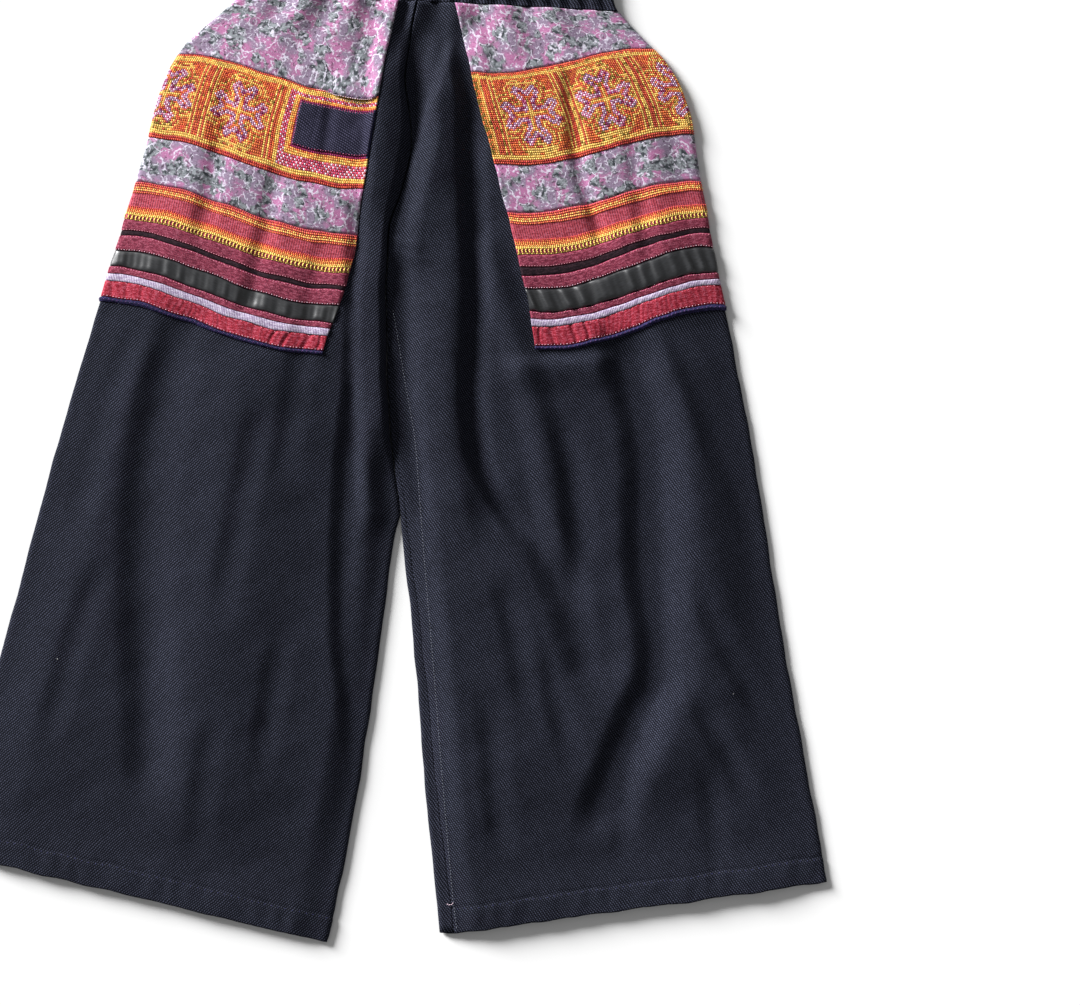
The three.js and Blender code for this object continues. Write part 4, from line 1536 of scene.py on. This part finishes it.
@dataclass
class HipPatch:
    """The twelve bands of one hip, with their embroidery and stitching."""

    form: LegForm
    finishes: dict[str, bpy.types.Material]
    thread: bpy.types.Material
    stitch: float = 2.1
    row_step: float = 2.6
    fine_columns: int = 400
    applique_rows: int = 28
    applique_columns: int = 50
    applique_wall: float = 0.5

    def relief(self, band: Band, u: Array, s: Array, width: float) -> Array:
        """How far a band's face rises over its plain level.

        Args:
            band: the band.
            u: places along it in millimetres.
            s: places across it from 0 to 1.
            width: how wide it is in millimetres.

        Returns:
            Heights in millimetres.
        """
        edge = np.minimum(s, 1 - s) * width
        rounded = -0.35 * (1 - smooth(edge / 1.1))
        arch = np.sqrt(np.maximum(1 - (2 * s - 1) ** 2, 0.0)) - 1
        if band.relief is Relief.FLAT:
            return BAND_RIPPLE.lift(u, s * width) + rounded
        if band.relief is Relief.TAPE:
            return 0.10 * np.sin(u / 4.1 + np.sin(u / 13)) + rounded
        if band.relief is Relief.SATIN:
            return self.creased(u, s, width) * smooth(edge / 4) - 0.3 + rounded
        if band.relief is Relief.PUCKERED:
            return self.puckered(u, s) + rounded
        if band.relief is Relief.TWISTED:
            return 0.6 * arch + 0.07 * np.sin(2 * np.pi * (u / 9.0 + s)) + 0.25 * np.sin(u / 13)
        return 0.9 * arch

    def creased(self, u: Array, s: Array, width: float) -> Array:
        """The satin's uneven leaning creases, softer on the right leg.

        Args:
            u: places along the band in millimetres.
            s: places across it from 0 to 1.
            width: how wide it is in millimetres.

        Returns:
            Heights in millimetres.
        """
        lean = u - 0.2 * self.form.side.value * s * width
        turns = 2 * np.pi * lean / 18 + 2.3 * np.sin(lean / 23) + 1.2 * np.sin(lean / 9.7 + 1)
        wave = (0.5 + 0.5 * np.sin(turns)) ** 1.3
        fine = np.sin(2 * np.pi * lean / 7.1 + 2.1 * np.sin(lean / 19))
        rise = 3.7 if self.form.side is Side.LEFT else 1.5
        uneven = (0.4 + 0.6 * s) * (0.8 + 0.2 * np.sin(u / 31 + 0.4))
        return (rise * wave + 0.2 * fine) * uneven

    def puckered(self, u: Array, s: Array) -> Array:
        """The crimson cotton's narrow pinches, with finer ones between.

        Args:
            u: places along the band in millimetres.
            s: places across it from 0 to 1.

        Returns:
            Heights in millimetres.
        """
        lean = u + 2.2 * np.sin(s * 2.4 + u / 19)
        turns = np.pi * lean / 15 + 1.9 * np.sin(lean / 23) + 0.9 * np.sin(lean / 8.3)
        pinch = 1 - (1 - np.abs(np.sin(turns))) * (0.75 + 0.25 * np.sin(u / 37 + 0.7))
        fine = np.sin(2 * np.pi * lean / 5.3 + 2 * np.sin(lean / 11) + 3 * s)
        return 1.25 * np.minimum(pinch * 1.6, 1.0) - 1.0 + 0.12 * fine

    def size(self, band: Band) -> tuple[float, float]:
        """A band's usual length and width in millimetres.

        Args:
            band: the band.

        Returns:
            The length and the width.
        """
        points = self.form.cloth(np.linspace(*self.span(band), 9), Stretch.PATCH).points
        long = np.linalg.norm(np.diff(points, axis=1), axis=2).sum(axis=1)
        deep = np.linalg.norm(np.diff(points, axis=0), axis=2).sum(axis=0)
        return float(np.median(long)) / MM, float(np.median(deep)) / MM

    def span(self, band: Band) -> tuple[int, int]:
        """The row numbers of a band's two edges."""
        _, edges = self.form.rows()
        return edges[BANDS.index(band)], edges[BANDS.index(band) + 1]

    def grid(self, band: Band, rows: int, columns: int | None = None) -> tuple[Cloth, float]:
        """The grid of a band's face.

        Args:
            band: the band.
            rows: how many rows of points it has.
            columns: evenly spread columns, or None for those of the leg.

        Returns:
            The cloth, cut along the band, and the band's width in millimetres.
        """
        first, last = self.span(band)
        _, width = self.size(band)
        trim = (SEAM / 2) / width * (last - first)
        under = self.form.cloth(np.linspace(first + trim, last - trim, rows), Stretch.PATCH)
        steps = np.linalg.norm(np.diff(under.points, axis=1), axis=2) / MM
        u = np.concatenate([np.zeros((rows, 1)), np.cumsum(steps, axis=1)], axis=1)
        if columns is not None:
            middle = u[rows // 2]
            even = np.linspace(0, middle[-1], columns)
            spots = np.interp(even, middle, np.arange(len(middle)))
            r, c = np.meshgrid(np.arange(rows, dtype=float), spots, indexing="ij")
            points, away = under.at(r.ravel(), c.ravel())
            shape = (rows, columns, 3)
            under = Cloth(points.reshape(shape), away.reshape(shape), np.zeros((rows, columns, 2)))
            u = np.broadcast_to(even, (rows, columns)).copy()
        s = np.broadcast_to(np.linspace(0, 1, rows)[:, None], u.shape)
        under.cut = np.stack([u * MM, s * width * MM], axis=2)
        up = smooth((under.away[..., 2] + 0.75) / 1.0)
        thick = mix(UNDER_PATCH - SEAM, band.thick, up)
        return under.lifted(SEAM + thick + up * self.relief(band, u, s, width)), width

    def rows_for(self, band: Band) -> int:
        """How many rows of points a band needs.

        Args:
            band: the band.

        Returns:
            The number.
        """
        if band.relief in FINE_ROWS:
            return FINE_ROWS[band.relief]
        number = BANDS.index(band)
        above = BANDS[number - 1].edge(self.form.side)[0] if number else BAND_DEPTH
        return max(10, int((band.edge(self.form.side)[0] - above) / self.row_step))

    def build(self) -> None:
        """Builds every band, and what is sewn on it."""
        for band in BANDS:
            if band.name == "embroidery":
                self.build_embroidery(band)
                continue
            even = band.relief in (Relief.TWISTED, Relief.PUCKERED, Relief.SATIN)
            columns = self.fine_columns if even else None
            cloth, width = self.grid(band, self.rows_for(band), columns)
            if band.name == "batik_top" and self.form.side is Side.RIGHT:
                cloth = self.raw_edge(cloth)
            piece = self.band_piece(band, cloth)
            lay(piece, cloth, self.under(), with_pieces=self.stitching(band, cloth, width))

    def band_piece(self, band: Band, cloth: Cloth) -> bpy.types.Object:
        """Makes a band's cloth, as thick as the clearance under the patch allows.

        Args:
            band: the band.
            cloth: its grid.

        Returns:
            The piece, dressed and tied to its node.
        """
        node = f"{band.name}_{self.form.name}"
        piece = cloth_piece(f"{node}_cloth", cloth, min(band.thick, UNDER_PATCH - SEAM - 0.1))
        return declare(piece, self.finishes[band.name], band_slot(band), (node,))

    def raw_edge(self, cloth: Cloth, length: float = 60.0) -> Cloth:
        """Curls a band's lower edge up and over the next band near the patch's front edge.

        Args:
            cloth: the band.
            length: how much of the edge curls, in millimetres.

        Returns:
            The band with that edge loose.
        """
        s = np.linspace(0, 1, cloth.points.shape[0])[:, None]
        u = cloth.cut[..., 0] / MM
        curl = smooth((s - 0.74) / 0.26) * smooth((length - u) / 16) * smooth((u + 2) / 7)
        crease = dent(u - 9, 14 * s, 2.2) + dent(u - 24, 10 * s, 2.4)
        cloth = cloth.lifted(3.2 * curl - 1.2 * crease * smooth((s - 0.25) / 0.3) * (1 - curl))
        cloth.points[..., 1] -= 2.8 * curl * MM
        return cloth

    def under(self) -> list[str]:
        """The pieces that the bands lie on."""
        return [f"front_{self.form.name}_cloth", f"back_{self.form.name}_cloth"]

    def run(
        self, cloth: Cloth, width: float, v: float, pitch: float, slant: float
    ) -> tuple[Array, Array, Array]:
        """Places for a row of stitches along a band.

        Args:
            cloth: the band.
            width: its width in millimetres.
            v: the row's distance below the band's upper edge.
            pitch: from stitch to stitch.
            slant: the stitches' turn out of the row, in degrees.

        Returns:
            Middles, directions along the stitches, and directions off the cloth.
        """
        rows, columns = cloth.points.shape[:2]
        u = cloth.cut[rows // 2, :, 0] / MM
        spots = np.arange(pitch * 0.6, u[-1] - pitch * 0.4, pitch)
        column = np.interp(spots, u, np.arange(columns))
        row = np.full(len(spots), v / width * (rows - 1))
        centre, up = cloth.at(row, column)
        ahead, _ = cloth.at(row, column + 0.2)
        back, _ = cloth.at(row, column - 0.2)
        along = unit(ahead - back)
        side = np.cross(up, along)
        turn = math.radians(slant)
        return centre, along * math.cos(turn) + side * math.sin(turn), up

    def stitching(self, band: Band, cloth: Cloth, width: float) -> list[bpy.types.Object]:
        """Sews a band's own threads.

        Args:
            band: the band.
            cloth: its grid.
            width: its width in millimetres.

        Returns:
            The pieces of thread, none or one.
        """
        random = np.random.default_rng(11 + BANDS.index(band))
        threads = Threads()
        for row in STITCH_ROWS.get(band.name, ()):
            v = row.part * width + row.down
            centre, along, up = self.run(cloth, width, v, row.pitch, row.slant)
            lift = up * (row.size[2] * 0.4 * MM)
            threads.add(centre + lift, along, up, row.size, dye_of(row.dyes, len(centre), random))
        if not threads.centres:
            return []
        # The curled raw edge gets its frayed ends and a row of black thread beneath it as painted
        # shadow.
        if band.name == "batik_top" and self.form.side is Side.RIGHT:
            self.fray_and_paint_shadow(cloth, width, threads, random)
        piece = threads.piece(f"{band.name}_{self.form.name}_stitches")
        return [declare(piece, self.thread, band_slot(band))]

    def fray_and_paint_shadow(
        self, cloth: Cloth, width: float, threads: Threads, random: np.random.Generator
    ) -> None:
        """Lays a row of black thread just under the curled edge as painted shadow, and the pale frayed
        ends along that edge.

        Args:
            cloth: the band.
            width: its width in millimetres.
            threads: what the threads are added to.
            random: the source of chance.
        """
        # The black row is painted shadow under the lifted flap; the two pale rows are the frayed ends.
        shadow_and_fray_rows = ((1.5, -2.4, Dye.BLACK, 0.7), (0.2, 0.3, Dye.PALE, 0.3), (2.9, -2.4, Dye.PALE, 0.28))
        for below, over, dye, half in shadow_and_fray_rows:
            centre, along, up = self.run(cloth, width, width, 2.0, 4)
            centre, along, up = centre[2:28], along[2:28], up[2:28]
            centre = centre + np.array([0, -below, over]) * MM
            colour = dye_of((dye,), len(centre), random)
            threads.add(centre, along, up, (1.3, half, half), colour)

    def build_embroidery(self, band: Band) -> None:
        """Builds the cross-stitched band: its ground cloth, coloured with each stitch's dye darkened as
        painted shade, and a crossed pair for each stitch.

        Args:
            band: the band.
        """
        long, deep = self.size(band)
        down, across = round(deep / self.stitch), round(long / self.stitch)
        cloth, width = self.grid(band, down + 1, across + 1)
        random = np.random.default_rng(5)
        length = float(cloth.cut[0, -1, 0]) / MM
        u = (np.arange(across) + 0.5) * length / across
        v = (np.arange(down) + 0.5) * EMBROIDERY_DEPTH / down
        dyes = Chart(self.form.side).dyes(*np.meshgrid(u, v), random)
        piece = self.band_piece(band, cloth)
        # The ground cloth under each stitch takes that stitch's dye, which its finish darkens as painted
        # shade.
        colours = piece.data.color_attributes.new(DYE, "FLOAT_COLOR", "CORNER")
        full = np.ones((down * across, 4, 4), dtype=np.float32)
        full[..., :3] = dyes.reshape(-1, 1, 3)
        colours.data.foreach_set("color", full.reshape(-1))
        threads = Threads()
        r, c = np.meshgrid(np.arange(down) + 0.5, np.arange(across) + 0.5, indexing="ij")
        r, c = r.ravel(), c.ravel()
        centre, up = cloth.at(r, c)
        reach = 0.44
        for tilt, rise in ((1, 0.10), (-1, 0.46)):
            start, _ = cloth.at(r - reach * tilt, c - reach)
            end, _ = cloth.at(r + reach * tilt, c + reach)
            half = float(np.median(np.linalg.norm(end - start, axis=1))) / 2 / MM
            dye = dyes.reshape(-1, 3) * (1 + 0.2 * random.standard_normal((len(r), 1)))
            threads.add(centre + up * rise * MM, unit(end - start), up, (half * 1.04, 0.56, 0.52), dye)
        sewn = declare(threads.piece(f"embroidery_{self.form.name}_stitches"), self.thread, "embroidery")
        lay(piece, cloth, self.under(), with_pieces=[sewn])
        if self.form.side is Side.RIGHT:
            self.build_applique(cloth, length, width)

    def build_applique(self, ground: Cloth, length: float, width: float) -> None:
        """Builds the navy rectangle sewn onto the embroidered band.

        Args:
            ground: the band's grid.
            length: the band's length in millimetres.
            width: its width.
        """
        rows, columns = ground.points.shape[:2]
        shape = (self.applique_rows, self.applique_columns)
        share = np.linspace(*APPLIQUE_SHARES, shape[0])
        reach = APPLIQUE_LENGTH / length * (columns - 1)
        r, c = np.meshgrid(share * (rows - 1), np.linspace(0.2, reach, shape[1]), indexing="ij")
        points, away = ground.at(r.ravel(), c.ravel())
        u = np.broadcast_to(np.linspace(0, APPLIQUE_LENGTH, shape[1]), shape)
        v = np.broadcast_to((share * width)[:, None], shape)
        cut = np.stack([u, v], axis=2) * MM
        cloth = Cloth(points.reshape((*shape, 3)), away.reshape((*shape, 3)), cut)
        edge = np.minimum(np.minimum(u, APPLIQUE_LENGTH - u), np.minimum(v - v[0], v[-1] - v))
        crease = dent(u, 0.76 * APPLIQUE_LENGTH, 1.3)
        cloth = cloth.lifted(1.0 + 0.35 * smooth(edge / 2.2) + APPLIQUE_RIPPLE.lift(u, v) - 0.3 * crease)
        piece = cloth_piece("applique_right_cloth", cloth, self.applique_wall)
        declare(piece, self.finishes["applique"], "applique", ("applique_right",))
        sewn = declare(self.edging(cloth), self.thread, "applique")
        lay(piece, cloth, ["embroidery_right_cloth"], with_pieces=[sewn])

    def edging(self, cloth: Cloth) -> bpy.types.Object:
        """Sews the rectangle down along its upper, lower and outer edge.

        Args:
            cloth: the rectangle.

        Returns:
            The piece of thread.
        """
        random = np.random.default_rng(23)
        threads = Threads()
        beside, below = np.arange(1.0, 48.5, 1.75), np.arange(1.0, 26.5, 1.7)
        lines = (
            (np.full(len(beside), 0.6), beside, 0.0, 0.3),
            (np.full(len(beside), 26.4), beside, 0.0, 0.3),
            (below, np.full(len(below), 48.4), 0.3, 0.0),
        )
        for row, column, row_step, column_step in lines:
            centre, up = cloth.at(row, column)
            ahead, _ = cloth.at(row + row_step, column + column_step)
            dye = dye_of((Dye.MAGENTA, Dye.PINK), len(row), random)
            threads.add(centre, unit(ahead - centre), up, (0.75, 0.5, 0.4), dye)
        return threads.piece("applique_right_stitches")


def band_slot(band: Band) -> str:
    """The slot name of a band's finish."""
    if band.name.startswith("batik"):
        return "batik"
    return "tape" if band.name.startswith("tape") else band.name


@dataclass
class Picked:
    """The dye picked for each stitch so far, by its number, and a chance drawn for each."""

    dyes: Array
    chance: Array

    def paint(self, where: Array, dye: Dye, other: Dye | None = None, share: float = 1.0) -> None:
        """Dyes some of the stitches.

        Args:
            where: which stitches.
            dye: the dye that a share of them takes.
            other: the dye of the rest, or None where all take the first.
            share: that share.
        """
        both = np.where(self.chance < share, dye.number, (other or dye).number)
        self.dyes = np.where(where, both, self.dyes)


@dataclass(frozen=True)
class Chart:
    """The rule by which the cross-stitched band is coloured, in millimetres along and down it."""

    side: Side
    pitch: float = 76.7
    middle: float = 46.0
    star: tuple[tuple[float, float], ...] = (
        (4.6, 4.6),
        (4.8, 13.0),
        (11.5, 22.0),
        (8.6, 26.0),
        (0.0, 18.5),
    )

    def first(self) -> float:
        """Where the first square's middle lies along the band."""
        return 50.0 if self.side is Side.LEFT else 137.0

    def star_distance(self, x: Array, y: Array) -> Array:
        """How far a place lies from the line of the hooked star.

        Args:
            x: places along the band from the square's middle.
            y: places down it.

        Returns:
            Distances.
        """
        ax, ay = np.abs(x), np.abs(y)
        best = np.full(x.shape, 1e9)
        for (x0, y0), (x1, y1) in zip(self.star, self.star[1:]):
            for px, py in ((ax, ay), (ay, ax)):
                dx, dy = x1 - x0, y1 - y0
                t = np.clip(((px - x0) * dx + (py - y0) * dy) / (dx * dx + dy * dy), 0, 1)
                best = np.minimum(best, np.hypot(px - x0 - t * dx, py - y0 - t * dy))
        return best

    def dyes(self, u: Array, v: Array, random: np.random.Generator) -> Array:
        """The colour of each stitch.

        Args:
            u: the stitches' places along the band.
            v: their places down it.
            random: the source of chance.

        Returns:
            Linear colours.
        """
        count = np.floor((u - self.first()) / self.pitch + 0.5)
        x = np.abs(u - self.first() - count * self.pitch)
        y = np.abs(v - self.middle)
        chance = random.random(u.shape)
        checker = (np.indices(u.shape).sum(axis=0) % 2) == 0
        star = self.star_distance(x, y)
        picked = Picked(np.full(u.shape, Dye.ORANGE.number), chance)
        picked.paint(chance < 0.26, Dye.AMBER)
        picked.paint(chance < 0.14, Dye.VERMILION)
        picked.paint((star > 5.6) & (star < 8.2) & (chance < 0.7), Dye.VERMILION)
        picked.paint((np.abs(count) % 2 == 1) & (chance > 0.84), Dye.OLIVE)
        picked.paint((star > 3.7) & (star < 5.6), Dye.OLIVE, Dye.YELLOW, 0.15)
        picked.paint((x > 15) & (y > 17) & (star > 7), Dye.VERMILION, Dye.ORANGE, 0.35)
        picked.paint((np.minimum(x, y) < 1.1) & (np.maximum(x, y) < 8), Dye.YELLOW)
        picked.paint((star > 8.2) & (star < 10.2), Dye.YELLOW, Dye.OLIVE, 0.85)
        picked.paint(star < 2.15, Dye.PINK, Dye.LILAC, 0.5)
        picked.paint((star < 2.15) & checker, Dye.PALE)
        picked.paint((star < 2.15) & (chance > 0.86), Dye.MAGENTA)
        for place, share, other in (
            (30.0, 0.9, Dye.OLIVE),
            (32.3, 0.0, Dye.VERMILION),
            (34.6, 0.85, Dye.OLIVE),
            (37.0, 0.0, Dye.VERMILION),
        ):
            picked.paint(np.abs(x - place) < 1.15, Dye.YELLOW, other, share)
        picked.paint((x < 15) & (np.abs(y - 31.5) < 1.2), Dye.YELLOW)
        if self.side is Side.RIGHT:
            self.frame(u, v, picked, checker)
        else:
            picked.paint(u < 5, Dye.OLIVE, Dye.ORANGE, 0.6)
            picked.paint((u > 5) & (u < 7.2), Dye.AMBER)
        picked.paint((v > 3) & (v < 7.5), Dye.YELLOW, Dye.AMBER, 0.8)
        picked.paint(v < 2.2, Dye.VERMILION)
        picked.paint((v > 81.5) & (v < 85), Dye.YELLOW, Dye.AMBER, 0.85)
        picked.paint(v > 85, Dye.RED, Dye.VERMILION, 0.3)
        table = np.array([linear(dye.value) for dye in Dye])
        uneven = 1 + 0.10 * random.standard_normal((*u.shape, 1))
        return table[picked.dyes] * uneven.clip(0.6, 1.4)

    def frame(self, u: Array, v: Array, picked: Picked, checker: Array) -> None:
        """Colours the three-sided border round the sewn-on rectangle.

        Args:
            u: places along the band.
            v: places down it.
            picked: the dyes so far.
            checker: every second stitch.
        """
        above = APPLIQUE_SHARES[0] * EMBROIDERY_DEPTH - v
        below = (v - APPLIQUE_SHARES[1] * EMBROIDERY_DEPTH) * 0.72
        away = np.maximum(np.maximum(above, below), u - APPLIQUE_LENGTH)
        picked.paint(away < 19.5, Dye.ORANGE)
        picked.paint(away < 17.6, Dye.YELLOW, Dye.AMBER, 0.75)
        picked.paint(away < 14.2, Dye.ROSE, Dye.RED, 0.6)
        picked.paint((away < 14.2) & checker, Dye.PALE, Dye.PINK, 0.5)
        picked.paint(away < 6.2, Dye.AMBER, Dye.YELLOW, 0.5)
        picked.paint(away < 3.6, Dye.ORANGE, Dye.AMBER, 0.5)
        picked.paint(away < 1.4, Dye.MAGENTA)
        picked.paint((away < 1.4) & (u < 3), Dye.NAVY)


@dataclass
class Waistband:
    """The gathered waistband, in a front and a back half."""

    twill: bpy.types.Material
    gathers: int = 20
    columns: int = 240
    rows: int = 22
    top: float = 7.2
    rise: float = 1.2
    wall: float = 1.6
    fullness: float = 1.3

    def grid(self, front: bool) -> Cloth:
        """One half's grid, gathered over the front and flat underneath.

        Args:
            front: whether it is the front half.

        Returns:
            The cloth.
        """
        drop = np.linspace(0, BAND_DEPTH, self.rows)[:, None]
        width = SIDE_LINE.at(drop)
        even = np.linspace(-1, 1, self.columns)
        share = (np.sin(even * np.pi / 2) * 0.35 + even * 0.65)[None, :]
        out = width * share
        full = turned(width - np.abs(out))
        if front:
            phase = np.pi * self.gathers * share + 0.5 * np.sin(9 * share)
            bend = 0.25 * np.sin(drop / 6.0 + 3 * share)
            wave = self.rise * np.cos(phase + bend)
            fine = 0.25 * np.cos(2.7 * phase + 1.0)
            cased = -0.5 * (dent(drop, 3, 1.2) + dent(drop, 31, 1.2))
            channel = -0.35 * dent(drop, 17, 1.2)
            height = mix(self.top / 2, self.top + wave + fine + cased + channel, full)
        else:
            height = self.top / 2 * (1 - full)
        points = np.stack([out, LENGTH / 2 - drop + 0 * out, height + 0 * out], axis=2)
        away = facing(points, 1.0 if front else -1.0)
        step = np.diff(points, axis=1)
        u = np.cumsum(np.hypot(step[..., 0], step[..., 2]), axis=1)
        u = np.concatenate([np.zeros((self.rows, 1)), u], axis=1)
        return Cloth(points * MM, away, np.stack([u, points[..., 1]], axis=2) * MM)

    def build(self) -> None:
        """Builds both halves."""
        rests_on = GROUND
        grids = {"back": self.grid(False), "front": self.grid(True)}
        pieces = {}
        for half in ("front", "back"):
            name = f"waistband_{half}"
            pieces[half] = cloth_piece(f"{name}_cloth", grids[half], self.wall)
            declare(pieces[half], self.twill, "twill", (name,))
        for half, cloth in grids.items():
            lay(pieces[half], cloth, [rests_on], self.fullness)
            rests_on = pieces[half].name


@dataclass
class Studio:
    """The floor, the lights and the camera."""

    floor_size: float = 40.0
    middle: tuple[float, float] = (0.1342, -0.0392)
    distance: float = 2.4
    view_width: float = 1.080
    turn: float = 2.95
    key_strength: float = 9.9
    key_from: tuple[float, float, float] = (-1.2, 0.85, 0.46)
    key_softness: float = 22.0
    fill: float = 0.24
    clearance: float = 0.0004

    def build_floor(self, material: bpy.types.Material) -> None:
        """Lays the floor.

        Args:
            material: its finish.
        """
        shape = bmesh.new()
        bmesh.ops.create_grid(shape, x_segments=4, y_segments=4, size=self.floor_size / 2)
        bmesh.ops.translate(shape, verts=shape.verts, vec=(0.0, 0.0, -self.clearance))
        mesh = bpy.data.meshes.new(GROUND)
        shape.to_mesh(mesh)
        shape.free()
        floor = add_object(GROUND, mesh)
        floor.data.materials.append(material)

    def build_lights(self) -> None:
        """Sets soft window light from the upper left and fills the rest evenly."""
        key = bpy.data.lights.new("window light", "SUN")
        key.energy = self.key_strength
        key.angle = math.radians(self.key_softness)
        lamp = bpy.data.objects.new("window light", key)
        place = Vector(self.key_from)
        lamp.location = place
        lamp.rotation_euler = (-place).to_track_quat("-Z", "Y").to_euler()
        bpy.context.scene.collection.objects.link(lamp)
        world = bpy.data.worlds.new("room")
        world.use_nodes = True
        sky = world.node_tree.nodes["Background"]
        sky.inputs["Color"].default_value = (1.0, 1.0, 1.0, 1.0)
        sky.inputs["Strength"].default_value = self.fill
        bpy.context.scene.world = world

    def build_camera(self) -> None:
        """Sets the camera straight above, turned as the photograph is."""
        data = bpy.data.cameras.new("camera")
        data.sensor_width = 36.0
        data.lens = self.distance * data.sensor_width / self.view_width
        camera = bpy.data.objects.new("camera", data)
        camera.location = (*self.middle, self.distance)
        camera.rotation_euler = Euler((0.0, 0.0, math.radians(self.turn)))
        bpy.context.scene.collection.objects.link(camera)
        bpy.context.scene.camera = camera

    def build(self, material: bpy.types.Material) -> None:
        """Builds the whole studio.

        Args:
            material: the floor's finish.
        """
        self.build_floor(material)
        self.build_lights()
        self.build_camera()
        bpy.context.scene.view_settings.view_transform = "Standard"


TAPES = {
    "braid": Tape("ribbed red cotton", (0.82, 0.34, 0.39), (0.44, 0.15, 0.20), 2.4),
    "cord_dark": Tape(
        "dark tape", (0.20, 0.13, 0.16), (0.07, 0.05, 0.07), 1.1, 0.0, (0.06, 0.03, 0.04)
    ),
    "ribbon": Tape(
        "lilac cord", (0.76, 0.71, 0.80), (0.52, 0.45, 0.57), 2.6, 0.5, (0.70, 0.66, 0.74)
    ),
    "crimson": Tape("crimson cotton", (0.80, 0.20, 0.27), (0.36, 0.08, 0.13), 0.9),
    "piping": Tape(
        "navy cord", (0.20, 0.18, 0.36), (0.07, 0.06, 0.14), 1.5, 0.6, (0.07, 0.06, 0.16)
    ),
}


def band_finishes() -> dict[str, bpy.types.Material]:
    """Makes the finish of each band, by the band's name."""
    finishes = {name: tape.make() for name, tape in TAPES.items()}
    batik = Batik().make()
    plum = Tape("plum tape", (0.65, 0.23, 0.32), (0.27, 0.11, 0.17), 1.2).make()
    finishes |= {"batik_top": batik, "batik_low": batik}
    finishes |= {"tape_high": plum, "tape_low": plum, "tape_thin": plum}
    # The embroidered band's ground is each stitch's dye made darker: painted shade between the crossed
    # threads.
    finishes["embroidery"] = Threadwork("stitched ground", 0.8, 0.35).make()
    finishes["sateen"] = Sateen().make()
    navy = Twill("navy cotton", (0.006, 0.006, 0.014), (0.115, 0.108, 0.185), angle=30.0)
    finishes["applique"] = navy.make()
    return finishes


def main() -> None:
    """Loads the frame and builds the studio and the garment."""
    logging.basicConfig(level=logging.INFO, format="%(message)s")
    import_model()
    Studio().build(Ground().make())
    twill = Twill().make()
    thread = Threadwork().make()
    finishes = band_finishes()
    for form in (LEFT_FORM, RIGHT_FORM):
        Leg(form, twill, thread).build()
        HipPatch(form, finishes, thread).build()
    Waistband(twill).build()


if __name__ == "__main__":
    main()
